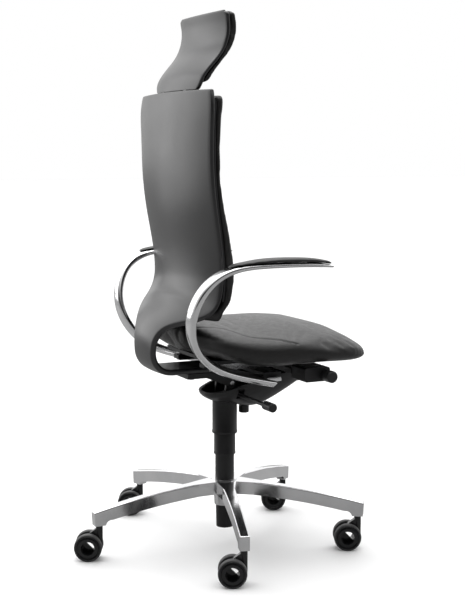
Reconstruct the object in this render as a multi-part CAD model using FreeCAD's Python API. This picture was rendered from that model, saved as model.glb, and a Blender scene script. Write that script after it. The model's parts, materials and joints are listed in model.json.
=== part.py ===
import FreeCAD, Part
import math
import os

# Swivel office chair, in millimetres. Origin on the floor under the column axis, +Z up.
# The sitter faces -Y and +X is the sitter's left.

# ---- base and casters ----
LEG_COUNT = 5
FIRST_LEG_ANGLE = 90.0
LEG_TIP_RADIUS = 340.0
LEG_TIP_TOP = 115.0
LEG_TIP_BOTTOM = 82.0
LEG_TIP_WIDTH = 22.0
LEG_ROOT_WIDTH = 48.0
LEG_WAIST_WIDTH = 30.0
LEG_HEIGHT = 31.0
LEG_ARCH = 8.0
LEG_POST_LENGTH = 28.0
LEG_EDGE_RADIUS = 3.0
HUB_TOP = 160.0
HUB_BOTTOM = 95.0
HUB_WALL = 8.0
HUB_SLEEVE_WALL = 3.5
STEM_INSET = 15.0
STEM_CIRCLE_RADIUS = LEG_TIP_RADIUS - STEM_INSET
STEM_RADIUS = 5.5
STEM_DEPTH = 22.0
STEM_COLLAR_RADIUS = 8.0
STEM_COLLAR_HEIGHT = 1.4
WHEEL_RADIUS = 32.5
WHEEL_WIDTH = 16.0
WHEEL_EDGE = 2.2
TREAD_THICKNESS = 3.5
JOURNAL_RADIUS = 20.0
JOURNAL_WALL = 4.0
WHEEL_GAP_HALF = 9.0
JOURNAL_LIP = 2.5
JOURNAL_LIP_WIDTH = 1.5
CASTER_TRAIL = 25.0
CASTER_TURN = -25.5
FORK_SIDE_GAP = 0.5
FORK_WEB_HALF = 2.5

# ---- column ----
TUBE_RADIUS = 23.0
TUBE_TAPER_RADIUS = TUBE_RADIUS - 2.5
HUB_RADIUS = TUBE_RADIUS + HUB_WALL
HUB_SLEEVE_RADIUS = TUBE_RADIUS + HUB_SLEEVE_WALL
TUBE_WALL = 3.0
TUBE_BOTTOM = 39.0
TUBE_TOP = 232.0
TUBE_TAPER_TOP = 150.0
TUBE_FLOOR = 5.0
CYLINDER_RADIUS = 14.0
CYLINDER_WALL = 3.0
CYLINDER_BOTTOM = 170.0
CYLINDER_TOP = 366.0
CYLINDER_TAPER_START = 335.0
CYLINDER_TAPER_RADIUS = CYLINDER_RADIUS - 1.0
VALVE_RADIUS = 4.0
VALVE_HEIGHT = 2.5
ROD_RADIUS = 5.0
PISTON_BOTTOM = 192.0
PISTON_HEIGHT = 9.0
BUSH_BOTTOM = 150.0
BEARING_HEIGHT = 6.0
BEARING_RADIUS = 12.0
CLIP_RADIUS = 8.5
CLIP_HEIGHT = 2.5
COVER_WALL = 1.6
COVER_EDGE_RADIUS = 0.7
COVER_GAP = 1.4
COVER_STEP_GAP = 2.4
COVER_MIDDLE_RADIUS = TUBE_RADIUS + COVER_GAP + COVER_WALL
COVER_MIDDLE_BOTTOM = 220.0
COVER_MIDDLE_LENGTH = 80.0
COVER_UPPER_RADIUS = COVER_MIDDLE_RADIUS + COVER_STEP_GAP + COVER_WALL
COVER_UPPER_BOTTOM = 272.0

# ---- mechanism ----
HOUSING_BOTTOM = 349.5
HOUSING_WALL = 5.0
HOUSING_COLLAR = 7.0
SOCKET_WALL = 8.0
SOCKET_RADIUS = CYLINDER_RADIUS + SOCKET_WALL
RECLINE_Y = 0.0
RECLINE_Z = 400.0
RECLINE_SHAFT_RADIUS = 6.0
SEAT_PIVOT_Y = -170.0
SEAT_PIVOT_Z = 430.0
SEAT_PIVOT_SHAFT_RADIUS = 5.0
EAR_WALL = 4.5
EAR_RADIUS = RECLINE_SHAFT_RADIUS + EAR_WALL
EAR_THICKNESS = 8.0
EAR_GAP_HALF = 24.0
FRONT_EAR_GAP_HALF = 33.0
SPRING_WIRE_RADIUS = 1.7
SPRING_CLEARANCE = 1.8
SPRING_COIL_RADIUS = RECLINE_SHAFT_RADIUS + SPRING_WIRE_RADIUS + SPRING_CLEARANCE
SPRING_PITCH = 4.6
TENSION_KNOB_Y = -52.0
TENSION_KNOB_RADIUS = 12.5
TENSION_KNOB_BOTTOM = 317.0
TENSION_KNOB_TOP = 335.0
TENSION_BOLT_RADIUS = 5.0
LEVER_Y = -12.0
LEVER_Z = 372.5
LEVER_END_X = -232.0
LEVER_ROD_RADIUS = 5.0
LEVER_SLOT_ROOM = 3.0
LEVER_PIVOT_X = -34.0
LEVER_PIN_RADIUS = 4.0
LEVER_GRIP_RADIUS = 10.5
LEVER_GRIP_LENGTH = 42.0
KNOB_Y = -160.0
KNOB_Z = 434.0
KNOB_RADIUS = 14.0
KNOB_LENGTH = 34.0
KNOB_END_X = 244.0
KNOB_SHAFT_RADIUS = 6.0

# ---- back ----
BACK_HALF_WIDTH = 207.0
STRAP_HALF_WIDTH = 55.0
STRAP_TURN_RADIUS = 53.0
STRAP_BOW = 1.5
SHELL_WAIST_HALF = BACK_HALF_WIDTH - 17
STRAP_BOTTOM = 430.0
STRAP_THICKNESS = 14.0
STRAP_FRONT_Y = 30.0
SHELL_THICKNESS = 9.0
CARRIER_PLATE_HALF = 48.0
CARRIER_PLATE_THICKNESS = 12.0
CARRIER_PLATE_END_Y = 118.0
CHEEK_THICKNESS = 8.0
PANEL_THICKNESS = 4.0
HEADREST_SLOT = 18.0
PAD_BOW_SHARE = 0.3
BACK_PAD_TOP = 1076.0
BACK_PAD_BOTTOM = 564.0
PANEL_BOTTOM = 616.0
HEADREST_HALF_WIDTH = 127.0
HEADREST_SHELL_THICKNESS = 8.0
HEADREST_TONGUE_BOTTOM = 990.0
HEADREST_TONGUE_HALF_WIDTH = 70.0
HEADREST_PAD_BOTTOM = 1102.0
HEADREST_BOW = 10.0

# ---- seat ----
CARRIER_BOTTOM = 449.0
CARRIER_TOP = 459.0
CARRIER_HALF_WIDTH = 90.0
CARRIER_REAR_Y = 95.0
CROSSBAR_BOTTOM = 434.0
ARM_BAR_FRONT = -66.0
ARM_BAR_REAR = -20.0
ARM_BAR_HALF = 166.0
CONTROL_BAR_FRONT = -150.0
CONTROL_BAR_REAR = -106.0
CONTROL_BAR_HALF = 140.0
CONTROL_BAR_BOTTOM = 431.0
CARRIER_FRONT_Y = -188.0
RAIL_CLEARANCE = 0.5
RAIL_WALL = 5.5
RAIL_LIP = 12.0
SEAT_HALF_WIDTH = 246.0
PAN_HALF_WIDTH = 145.0
PAN_FRONT_Y = -205.0
PAN_REAR_Y = 95.0
PAN_BOTTOM = 466.0
PAN_THICKNESS = 8.0
PAN_CORNER_RADIUS = 18.0
PAN_CLEARANCE = 2.0

# ---- arms ----
ARM_HALF_WIDTH = 19.0
ARM_THICKNESS = 17.0
ARM_TIP_THICKNESS = 11.0
ARM_POWER = 3.2
ARM_LEAN = 0.33
ARM_REFERENCE_X = 201.0
ARM_REFERENCE_Z = 515.0
ARM_FOOT_TOP = 434.0
ARM_FOOT_THICKNESS = 10.0
ARM_PAD_HALF_WIDTH = 24.0

FIT_CLEARANCE = 0.05
GAP = 0.4
FORK_TOP = LEG_TIP_BOTTOM - GAP - STEM_COLLAR_HEIGHT
FORK_HALF = WHEEL_GAP_HALF - FORK_SIDE_GAP
WHEEL_OUTSIDE = WHEEL_GAP_HALF + WHEEL_WIDTH
STEM_SOCKET_BOTTOM = WHEEL_RADIUS + 8
X_AXIS = FreeCAD.Vector(1, 0, 0)
Y_AXIS = FreeCAD.Vector(0, 1, 0)
Z_AXIS = FreeCAD.Vector(0, 0, 1)
ORIGIN = FreeCAD.Vector(0, 0, 0)


def point(x, y, z):
    return FreeCAD.Vector(x, y, z)


def box(low, high):
    size = [high[i] - low[i] for i in range(3)]
    return Part.makeBox(size[0], size[1], size[2], point(*low))


def cylinder(radius, start, length, axis=Z_AXIS):
    return Part.makeCylinder(radius, length, point(*start), axis)


def cone(bottom_radius, top_radius, start, length, axis=Z_AXIS):
    return Part.makeCone(bottom_radius, top_radius, length, point(*start), axis)


def polygon(points):
    return Part.makePolygon(points + [points[0]])


def prism(points, direction):
    return Part.Face(polygon(points)).extrude(direction)


def loft(wires, ruled=False):
    return Part.makeLoft(wires, True, ruled)


def mirrored(shape):
    return shape.mirror(ORIGIN, X_AXIS)


def fuse(shapes):
    return shapes[0].multiFuse(shapes[1:]).removeSplitter()


def save(name, shape):
    solids = shape.Solids
    result = solids[0] if len(solids) == 1 else Part.makeCompound(solids)
    result.exportStep("parts/" + name + ".step")


def blend_values(table, value):
    """Read a table of (position, a, b, ...) rows in rising order at any position."""
    for low, high in zip(table, table[1:]):
        if low[0] <= value <= high[0]:
            share = (value - low[0]) / (high[0] - low[0])
            return [a + share * (b - a) for a, b in zip(low[1:], high[1:])]
    return list(table[0][1:] if value < table[0][0] else table[-1][1:])


def smooth_rows(rows, count, place_columns):
    """Resample station rows evenly along their line, with a smooth curve through every value."""
    lengths = [0.0]
    for before, after in zip(rows, rows[1:]):
        step = math.dist([before[i] for i in place_columns], [after[i] for i in place_columns])
        lengths.append(lengths[-1] + step)
    columns = []
    for column in range(len(rows[0])):
        curve = Part.BSplineCurve()
        curve.interpolate(Points=[point(place, row[column], 0) for place, row in zip(lengths, rows)],
                          Parameters=lengths)
        columns.append(curve)
    places = [lengths[-1] * index / (count - 1) for index in range(count)]
    return [tuple(curve.value(place).y for curve in columns) for place in places]


def rounded_section(centre, across, up, half_width, half_height, power=3.5, count=16):
    """A closed smooth oval section; the power says how square its corners are."""
    points = []
    for step in range(count):
        angle = 2 * math.pi * (step + 0.5) / count
        side = math.copysign(abs(math.cos(angle)) ** (2 / power), math.cos(angle))
        rise = math.copysign(abs(math.sin(angle)) ** (2 / power), math.sin(angle))
        points.append(centre + across * (side * half_width) + up * (rise * half_height))
    curve = Part.BSplineCurve()
    curve.interpolate(Points=points, PeriodicFlag=True)
    return Part.Wire(curve.toShape())


def bowed_section(centre, half_width, bow, inward, thickness):
    """A thin bowed slice: its outer middle is at centre, its edges are inward of it by the bow."""
    left = centre + inward * bow - X_AXIS * half_width
    right = centre + inward * bow + X_AXIS * half_width
    shift = inward * thickness
    outer = Part.Arc(left, centre, right).toShape()
    inner = Part.Arc(right + shift, centre + shift, left + shift).toShape()
    return Part.Wire([outer, Part.makeLine(right, right + shift), inner, Part.makeLine(left + shift, left)])


# ---------------------------------------------------------------- base and casters

def leg_top(radius):
    """Height of a leg's top line: a low arch from the hub to the tip."""
    share = radius / LEG_TIP_RADIUS
    straight = HUB_TOP - 2 + (LEG_TIP_TOP - HUB_TOP + 2) * share
    return straight + LEG_ARCH * 4 * share * (1 - share)


def leg():
    stations = [LEG_TIP_RADIUS * i / 6 for i in range(7)]
    top = [point(r, 0, leg_top(r)) for r in stations]
    post_start = LEG_TIP_RADIUS - LEG_POST_LENGTH
    under_radii = [post_start - 16, post_start * 0.6, post_start * 0.25, 0]
    under = [point(r, 0, leg_top(r) - LEG_HEIGHT) for r in under_radii]
    curve_top = Part.BSplineCurve()
    curve_top.interpolate(top)
    curve_under = Part.BSplineCurve()
    curve_under.interpolate(under)
    tip_top = top[-1]
    tip_low = point(LEG_TIP_RADIUS - 2, 0, LEG_TIP_BOTTOM)
    post_low = point(post_start, 0, LEG_TIP_BOTTOM)
    post_bend = point(post_start - 5, 0, (LEG_TIP_BOTTOM + under[0].z) / 2 + 3)
    edges = [
        curve_top.toShape(),
        Part.makeLine(tip_top, tip_low),
        Part.makeLine(tip_low, post_low),
        Part.Arc(post_low, post_bend, under[0]).toShape(),
        curve_under.toShape(),
        Part.makeLine(under[-1], top[0]),
    ]
    side = Part.Face(Part.Wire(Part.__sortEdges__(edges)))
    width = LEG_ROOT_WIDTH + 20
    blade = side.extrude(point(0, width, 0))
    blade.translate(point(0, -width / 2, 0))
    half = [(0, LEG_ROOT_WIDTH / 2), (30, LEG_ROOT_WIDTH / 2), (75, LEG_WAIST_WIDTH / 2),
            (LEG_TIP_RADIUS * 0.6, LEG_WAIST_WIDTH / 2 - 3), (LEG_TIP_RADIUS + 5, LEG_TIP_WIDTH / 2)]
    outline = [point(r, -w, 0) for r, w in half] + [point(r, w, 0) for r, w in reversed(half)]
    blade = blade.common(prism(outline, point(0, 0, HUB_TOP + 40)))
    long_edges = []
    for edge in blade.Edges:
        ends = [vertex.Point for vertex in edge.Vertexes]
        on_top = all(abs(p.z - leg_top(min(p.x, LEG_TIP_RADIUS))) < 0.6 and p.x > 74 for p in ends)
        if on_top and len(ends) == 2:
            long_edges.append(edge)
    return blade.makeFillet(LEG_EDGE_RADIUS, long_edges)


def stem_positions():
    for index in range(LEG_COUNT):
        angle = FIRST_LEG_ANGLE + index * 360 / LEG_COUNT
        turn = math.radians(angle)
        yield index + 1, angle, STEM_CIRCLE_RADIUS * math.cos(turn), STEM_CIRCLE_RADIUS * math.sin(turn)


def taper_radius(height):
    share = (height - TUBE_BOTTOM) / (TUBE_TAPER_TOP - TUBE_BOTTOM)
    return TUBE_TAPER_RADIUS + (TUBE_RADIUS - TUBE_TAPER_RADIUS) * min(max(share, 0), 1)


def tube_outside():
    taper = cone(TUBE_TAPER_RADIUS, TUBE_RADIUS, (0, 0, TUBE_BOTTOM), TUBE_TAPER_TOP - TUBE_BOTTOM)
    straight = cylinder(TUBE_RADIUS, (0, 0, TUBE_TAPER_TOP), TUBE_TOP - TUBE_TAPER_TOP)
    return taper.fuse(straight)


def base_star():
    one_leg = leg()
    legs = []
    for _, angle, _, _ in stem_positions():
        copy = one_leg.copy()
        copy.rotate(ORIGIN, Z_AXIS, angle)
        legs.append(copy)
    ring_bottom = HUB_TOP - LEG_HEIGHT - 4
    hub = cylinder(HUB_RADIUS, (0, 0, ring_bottom), HUB_TOP - ring_bottom)
    sleeve = cone(HUB_SLEEVE_RADIUS - 1.5, HUB_SLEEVE_RADIUS, (0, 0, HUB_BOTTOM), ring_bottom - HUB_BOTTOM)
    star = fuse(legs + [hub, sleeve]).cut(tube_outside())
    for _, _, x, y in stem_positions():
        star = star.cut(cylinder(STEM_RADIUS + FIT_CLEARANCE, (x, y, LEG_TIP_BOTTOM - 5), STEM_DEPTH + 6))
    return star


def place_caster(shape, x, y):
    shape.rotate(ORIGIN, Z_AXIS, CASTER_TURN)
    shape.translate(point(x, y, 0))
    return shape


def caster_fork():
    axle = (0, CASTER_TRAIL, WHEEL_RADIUS)
    disc = cylinder(WHEEL_RADIUS - 4, (-FORK_HALF, axle[1], axle[2]), 2 * FORK_HALF, X_AXIS)
    boss = cylinder(FORK_HALF - 0.4, (0, 0, WHEEL_RADIUS), FORK_TOP - WHEEL_RADIUS)
    neck = FORK_HALF * 0.6
    outline = [(-neck, WHEEL_RADIUS), (-neck, FORK_TOP - 4), (neck, FORK_TOP - 4),
               (CASTER_TRAIL, 2 * WHEEL_RADIUS - 3), (CASTER_TRAIL, WHEEL_RADIUS)]
    gusset = prism([point(-FORK_HALF * 0.8, y, z) for y, z in outline], point(FORK_HALF * 1.6, 0, 0))
    reach = WHEEL_OUTSIDE + GAP + JOURNAL_LIP_WIDTH
    journal = cylinder(JOURNAL_RADIUS, (-reach, axle[1], axle[2]), 2 * reach, X_AXIS)
    lips = [cylinder(JOURNAL_RADIUS + JOURNAL_LIP, (x, axle[1], axle[2]), JOURNAL_LIP_WIDTH, X_AXIS)
            for x in (-reach, reach - JOURNAL_LIP_WIDTH)]
    bore_radius = JOURNAL_RADIUS - JOURNAL_WALL
    bore = cylinder(bore_radius, (-reach - 1, axle[1], axle[2]), 2 * reach + 2, X_AXIS)
    web = cylinder(bore_radius + 1, (-FORK_WEB_HALF, axle[1], axle[2]), 2 * FORK_WEB_HALF, X_AXIS)
    keep = box((-FORK_WEB_HALF - 1, -60, -60), (FORK_WEB_HALF + 1, 60, 2))
    keep.rotate(ORIGIN, X_AXIS, 45)
    keep.translate(point(*axle))
    fork = fuse([disc, boss, gusset, journal] + lips).cut(bore)
    fork = fuse([fork, web.common(keep)])
    return fork.cut(cylinder(STEM_RADIUS, (0, 0, STEM_SOCKET_BOTTOM), FORK_TOP))


def caster_stem():
    top = LEG_TIP_BOTTOM + STEM_DEPTH - 1
    pin = cylinder(STEM_RADIUS, (0, 0, STEM_SOCKET_BOTTOM), top - STEM_SOCKET_BOTTOM)
    pin = pin.makeChamfer(1.2, [pin.Edges[0]])
    collar = cylinder(STEM_COLLAR_RADIUS, (0, 0, FORK_TOP), STEM_COLLAR_HEIGHT)
    return fuse([pin, collar])


def wheel_ring(inner, outer, edge, start, width):
    """A ring about the axle, with its two outer corners bevelled."""
    profile = [(start, inner), (start, outer - edge), (start + edge, outer), (start + width - edge, outer),
               (start + width, outer - edge), (start + width, inner)]
    face = Part.Face(polygon([point(x, 0, r) for x, r in profile]))
    ring = face.revolve(ORIGIN, X_AXIS, 360)
    ring.translate(point(0, CASTER_TRAIL, WHEEL_RADIUS))
    return ring


def caster_wheel(start):
    seam = WHEEL_RADIUS - TREAD_THICKNESS
    rim = wheel_ring(JOURNAL_RADIUS + FIT_CLEARANCE, seam, 0.4, start, WHEEL_WIDTH)
    tread = wheel_ring(seam, WHEEL_RADIUS, WHEEL_EDGE, start, WHEEL_WIDTH)
    return Part.makeCompound([rim, tread])


def make_base():
    save("base_star", base_star())
    for number, _, x, y in stem_positions():
        name = "caster_" + str(number)
        save(name + "_fork", place_caster(caster_fork(), x, y))
        save(name + "_stem", place_caster(caster_stem(), x, y))
        save(name + "_wheel_left", place_caster(caster_wheel(WHEEL_GAP_HALF), x, y))
        save(name + "_wheel_right", place_caster(caster_wheel(-WHEEL_OUTSIDE), x, y))


# ---------------------------------------------------------------- column

def make_column():
    inside_taper = TUBE_TAPER_RADIUS - TUBE_WALL
    cavity_bottom = TUBE_BOTTOM + TUBE_FLOOR
    cavity = cylinder(inside_taper, (0, 0, cavity_bottom), TUBE_TOP)
    bush_seat = cylinder(TUBE_RADIUS - TUBE_WALL, (0, 0, BUSH_BOTTOM), TUBE_TOP)
    floor_hole = cylinder(ROD_RADIUS + FIT_CLEARANCE, (0, 0, TUBE_BOTTOM - 1), TUBE_FLOOR + 2)
    save("column_tube", tube_outside().cut(cavity).cut(bush_seat).cut(floor_hole))

    bush = cylinder(TUBE_RADIUS - TUBE_WALL, (0, 0, BUSH_BOTTOM), TUBE_TOP - BUSH_BOTTOM)
    bush_bore = cylinder(CYLINDER_RADIUS + FIT_CLEARANCE, (0, 0, BUSH_BOTTOM - 1), TUBE_TOP)
    save("guide_bush", bush.cut(bush_bore))

    bearing = cylinder(BEARING_RADIUS, (0, 0, cavity_bottom), BEARING_HEIGHT)
    bearing_bore = cylinder(ROD_RADIUS + GAP, (0, 0, cavity_bottom - 1), BEARING_HEIGHT + 2)
    save("thrust_bearing", bearing.cut(bearing_bore))

    clip_top = TUBE_BOTTOM - GAP
    rod_bottom = clip_top - CLIP_HEIGHT - 2
    groove = cylinder(ROD_RADIUS + 1, (0, 0, clip_top - CLIP_HEIGHT), CLIP_HEIGHT)
    groove = groove.cut(cylinder(ROD_RADIUS - 1, (0, 0, rod_bottom), 20))
    piston_top = PISTON_BOTTOM + PISTON_HEIGHT
    rod = cylinder(ROD_RADIUS, (0, 0, rod_bottom), piston_top - rod_bottom)
    shoulder = cylinder(BEARING_RADIUS - 3, (0, 0, cavity_bottom + BEARING_HEIGHT + GAP), 3)
    piston = cylinder(CYLINDER_RADIUS - CYLINDER_WALL - FIT_CLEARANCE, (0, 0, PISTON_BOTTOM), PISTON_HEIGHT)
    save("piston_rod", fuse([rod, shoulder, piston]).cut(groove))

    clip = cylinder(CLIP_RADIUS, (0, 0, clip_top - CLIP_HEIGHT), CLIP_HEIGHT)
    clip = clip.cut(cylinder(ROD_RADIUS - 1, (0, 0, rod_bottom), 20))
    save("retaining_clip", clip.cut(box((-2, 0, rod_bottom), (2, CLIP_RADIUS + 1, clip_top + 1))))

    body = cylinder(CYLINDER_RADIUS, (0, 0, CYLINDER_BOTTOM), CYLINDER_TAPER_START - CYLINDER_BOTTOM)
    taper = cone(CYLINDER_RADIUS, CYLINDER_TAPER_RADIUS, (0, 0, CYLINDER_TAPER_START),
                 CYLINDER_TOP - CYLINDER_TAPER_START)
    valve = cylinder(VALVE_RADIUS, (0, 0, CYLINDER_TOP), VALVE_HEIGHT)
    chamber_bottom = CYLINDER_BOTTOM + 8
    chamber_height = CYLINDER_TAPER_START - chamber_bottom
    chamber = cylinder(CYLINDER_RADIUS - CYLINDER_WALL, (0, 0, chamber_bottom), chamber_height)
    rod_hole = cylinder(ROD_RADIUS + FIT_CLEARANCE, (0, 0, CYLINDER_BOTTOM - 1), 12)
    save("gas_cylinder", fuse([body, taper, valve]).cut(chamber).cut(rod_hole))

    middle_top = COVER_MIDDLE_BOTTOM + COVER_MIDDLE_LENGTH
    for name, radius, bottom, top in (
            ("cover_middle", COVER_MIDDLE_RADIUS, COVER_MIDDLE_BOTTOM, middle_top),
            ("cover_upper", COVER_UPPER_RADIUS, COVER_UPPER_BOTTOM, HOUSING_BOTTOM)):
        shell = cylinder(radius, (0, 0, bottom), top - bottom)
        low_edges = [edge for edge in shell.Edges if abs(edge.BoundBox.ZMax - bottom) < 0.01]
        shell = shell.makeFillet(COVER_EDGE_RADIUS, low_edges)
        save(name, shell.cut(cylinder(radius - COVER_WALL, (0, 0, bottom - 1), top - bottom + 2)))


# ---------------------------------------------------------------- mechanism

# Stations along the housing from its rear tip forward: y, rim height, keel height, half width.
HOUSING_STATIONS = [
    (60, 376, 371, 16),
    (46, 379, 359, 44),
    (25, 384, 351, 59),
    (0, 391, 348, 67),
    (-35, 402, 339, 73),
    (-70, 412, 337, 75),
    (-110, 418, 351, 74),
    (-150, 422, 371, 70),
    (-198, 426, 398, 60),
]


def hull_section(y, rim, keel, half_width):
    """A U-shaped slice across the housing, closed by a straight rim line."""
    depth = rim - keel
    left = point(-half_width, y, rim)
    right = point(half_width, y, rim)
    curve = Part.BSplineCurve()
    curve.interpolate([
        left,
        point(-half_width * 0.86, y, rim - depth * 0.55),
        point(-half_width * 0.5, y, rim - depth * 0.92),
        point(0, y, keel),
        point(half_width * 0.5, y, rim - depth * 0.92),
        point(half_width * 0.86, y, rim - depth * 0.55),
        right,
    ])
    return Part.Wire([curve.toShape(), Part.makeLine(right, left)])


def hull(wall, lift):
    """The housing's outer body, or its cavity when a wall is taken off and the rim is lifted."""
    wires = []
    rows = smooth_rows(HOUSING_STATIONS, 13, (0, 3))
    last = len(rows) - 1
    for index, (y, rim, keel, half_width) in enumerate(rows):
        y_shift = -wall if index == 0 else (wall if index == last else 0)
        if wall and index == 0:
            keel = min(keel + wall, rim - 1)
            half_width = half_width - wall / 2
            wires.append(hull_section(y + y_shift, rim + lift, keel, half_width))
        else:
            wires.append(hull_section(y + y_shift, rim + lift, keel + wall, half_width - wall))
    return loft(wires)


def ear_pair(y, z, radius, gap_half, thickness, foot_z, foot_half):
    """Two upright lugs each side of the middle, rounded at the top about a shaft."""
    lugs = []
    for start in (gap_half, -gap_half - thickness):
        eye = cylinder(radius, (start, y, z), thickness, X_AXIS)
        outline = [point(start, y - foot_half, foot_z), point(start, y + foot_half, foot_z),
                   point(start, y + radius * 0.96, z), point(start, y - radius * 0.96, z)]
        lugs.append(fuse([eye, prism(outline, point(thickness, 0, 0))]))
    return lugs


def shaft(radius, y, z, half_length):
    pin = cylinder(radius, (-half_length, y, z), 2 * half_length, X_AXIS)
    return pin.makeChamfer(0.8, [edge for edge in pin.Edges if edge.Closed])


def lever_posts():
    """Two posts on the housing floor that carry the height lever's pin."""
    posts = []
    for start in (LEVER_Y - 20, LEVER_Y + 12):
        posts.append(box((LEVER_PIVOT_X - 8, start, HOUSING_BOTTOM + 2),
                         (LEVER_PIVOT_X + 8, start + 6, LEVER_Z + 8)))
    return posts


def make_mechanism():
    socket = cylinder(SOCKET_RADIUS, (0, 0, CYLINDER_TAPER_START), CYLINDER_TOP - 2 - CYLINDER_TAPER_START)
    collar = cylinder(COVER_UPPER_RADIUS, (0, 0, HOUSING_BOTTOM), HOUSING_COLLAR)
    body = fuse([hull(0, 0), collar])
    body = body.cut(hull(HOUSING_WALL, 30))
    body = body.cut(cylinder(COVER_UPPER_RADIUS + GAP, (0, 0, HOUSING_BOTTOM - 40), 40))
    ears = ear_pair(RECLINE_Y, RECLINE_Z, EAR_RADIUS, EAR_GAP_HALF, EAR_THICKNESS, HOUSING_BOTTOM + 3, 15)
    front = ear_pair(SEAT_PIVOT_Y, SEAT_PIVOT_Z, EAR_RADIUS, FRONT_EAR_GAP_HALF, EAR_THICKNESS, 392, 15)
    body = fuse([body, socket] + ears + front + lever_posts())
    taper_height = CYLINDER_TOP - CYLINDER_TAPER_START
    taper = cone(CYLINDER_RADIUS, CYLINDER_TAPER_RADIUS, (0, 0, CYLINDER_TAPER_START), taper_height)
    bore = fuse([taper, cylinder(CYLINDER_TAPER_RADIUS, (0, 0, CYLINDER_TOP - 3), 14)])
    body = body.cut(bore)
    for radius, y, z in ((RECLINE_SHAFT_RADIUS, RECLINE_Y, RECLINE_Z),
                         (SEAT_PIVOT_SHAFT_RADIUS, SEAT_PIVOT_Y, SEAT_PIVOT_Z)):
        body = body.cut(cylinder(radius, (-120, y, z), 240, X_AXIS))
    pin_start = (LEVER_PIVOT_X, LEVER_Y - 25, LEVER_Z)
    pin_hole = cylinder(LEVER_PIN_RADIUS + FIT_CLEARANCE, pin_start, 50, Y_AXIS)
    slot_half = LEVER_ROD_RADIUS + LEVER_SLOT_ROOM
    slot = box((-120, LEVER_Y - slot_half, LEVER_Z - 9),
               (LEVER_PIVOT_X - 9, LEVER_Y + slot_half, LEVER_Z + 15))
    window = box((LEVER_PIVOT_X + 1, LEVER_Y - 9, LEVER_Z - 7),
                 (-EAR_GAP_HALF + 1, LEVER_Y + 6.5, LEVER_Z + 7))
    knob_hole = cylinder(TENSION_BOLT_RADIUS + FIT_CLEARANCE, (0, TENSION_KNOB_Y, 300), 60)
    knob_face = cylinder(TENSION_KNOB_RADIUS + 1.5, (0, TENSION_KNOB_Y, 300), TENSION_KNOB_TOP + GAP - 300)
    save("mechanism_housing", body.cut(pin_hole).cut(slot).cut(window).cut(knob_hole).cut(knob_face))

    cheek_outside = EAR_GAP_HALF + EAR_THICKNESS + 2 + CHEEK_THICKNESS
    save("recline_shaft", shaft(RECLINE_SHAFT_RADIUS, RECLINE_Y, RECLINE_Z, cheek_outside + 2))
    save("seat_pivot_shaft", shaft(SEAT_PIVOT_SHAFT_RADIUS, SEAT_PIVOT_Y, SEAT_PIVOT_Z,
                                   FRONT_EAR_GAP_HALF + 2 * EAR_THICKNESS + 4))

    half_length = EAR_GAP_HALF - 2
    turns = (2 * half_length - 4) / SPRING_PITCH
    helix = Part.makeHelix(SPRING_PITCH, turns * SPRING_PITCH, SPRING_COIL_RADIUS)
    ring = Part.Wire(Part.Circle(point(SPRING_COIL_RADIUS, 0, 0), Y_AXIS, SPRING_WIRE_RADIUS).toShape())
    coil = Part.Wire(helix).makePipeShell([ring], True, True)
    coil.rotate(ORIGIN, Y_AXIS, 90)
    coil.translate(point(-half_length + 2, RECLINE_Y, RECLINE_Z))
    save("tilt_spring", coil)

    grip_height = TENSION_KNOB_TOP - TENSION_KNOB_BOTTOM
    grip = cylinder(TENSION_KNOB_RADIUS, (0, TENSION_KNOB_Y, TENSION_KNOB_BOTTOM), grip_height)
    low_rim = [edge for edge in grip.Edges if edge.Closed and edge.BoundBox.ZMax < TENSION_KNOB_BOTTOM + 1]
    grip = grip.makeFillet(3, low_rim)
    bolt = cylinder(TENSION_BOLT_RADIUS, (0, TENSION_KNOB_Y, TENSION_KNOB_TOP), 30)
    save("tension_knob", fuse([grip, bolt]))

    rod_end = LEVER_END_X + 6
    rod = cylinder(LEVER_ROD_RADIUS, (rod_end, LEVER_Y, LEVER_Z), LEVER_PIVOT_X + 2 - rod_end, X_AXIS)
    paddle = box((LEVER_PIVOT_X - 4, LEVER_Y - 5.5, LEVER_Z - 1.2), (6, LEVER_Y + 17, LEVER_Z + 3))
    trim = box((LEVER_PIVOT_X - 5, LEVER_Y + 5.5, LEVER_Z - 3), (-14, LEVER_Y + 18, LEVER_Z + 5))
    pin = cylinder(LEVER_PIN_RADIUS, (LEVER_PIVOT_X, LEVER_Y - 22, LEVER_Z), 42, Y_AXIS)
    lever = fuse([rod, paddle.cut(trim), pin])
    save("height_lever", lever)
    grip = cylinder(LEVER_GRIP_RADIUS, (LEVER_END_X, LEVER_Y, LEVER_Z), LEVER_GRIP_LENGTH, X_AXIS)
    grip = grip.makeFillet(3.5, [edge for edge in grip.Edges if edge.Closed])
    save("height_lever_grip", grip.cut(rod))


# ---------------------------------------------------------------- back

# Stations down the outer face's edge: half width, edge y, edge z, bow of the middle behind it.
# The last stations curl under the seat as the narrow strap.
BACK_STATIONS = [
    (BACK_HALF_WIDTH - 7, 128, 1085, 18),
    (BACK_HALF_WIDTH, 130, 1060, 19),
    (BACK_HALF_WIDTH, 131, 1000, 20),
    (BACK_HALF_WIDTH - 3, 129, 900, 21),
    (BACK_HALF_WIDTH - 4, 121, 820, 22),
    (BACK_HALF_WIDTH - 8, 108, 740, 24),
    (BACK_HALF_WIDTH - 12, 102, 680, 27),
    (BACK_HALF_WIDTH - 13, 104, 640, 30),
    (BACK_HALF_WIDTH - 11, 114, 610, 36),
    (BACK_HALF_WIDTH - 16, 130, 590, 38),
    (BACK_HALF_WIDTH - 43, 152, 576, 30),
    (BACK_HALF_WIDTH - 89, 178, 563, 18),
    (STRAP_HALF_WIDTH + 29, 197, 547, 9),
    (STRAP_HALF_WIDTH + 11, 208, 526, 5),
    (STRAP_HALF_WIDTH + 2, 213, 500, 2.5),
]

def strap_turn_y():
    return BACK_STATIONS[-1][1] - STRAP_TURN_RADIUS


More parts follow.
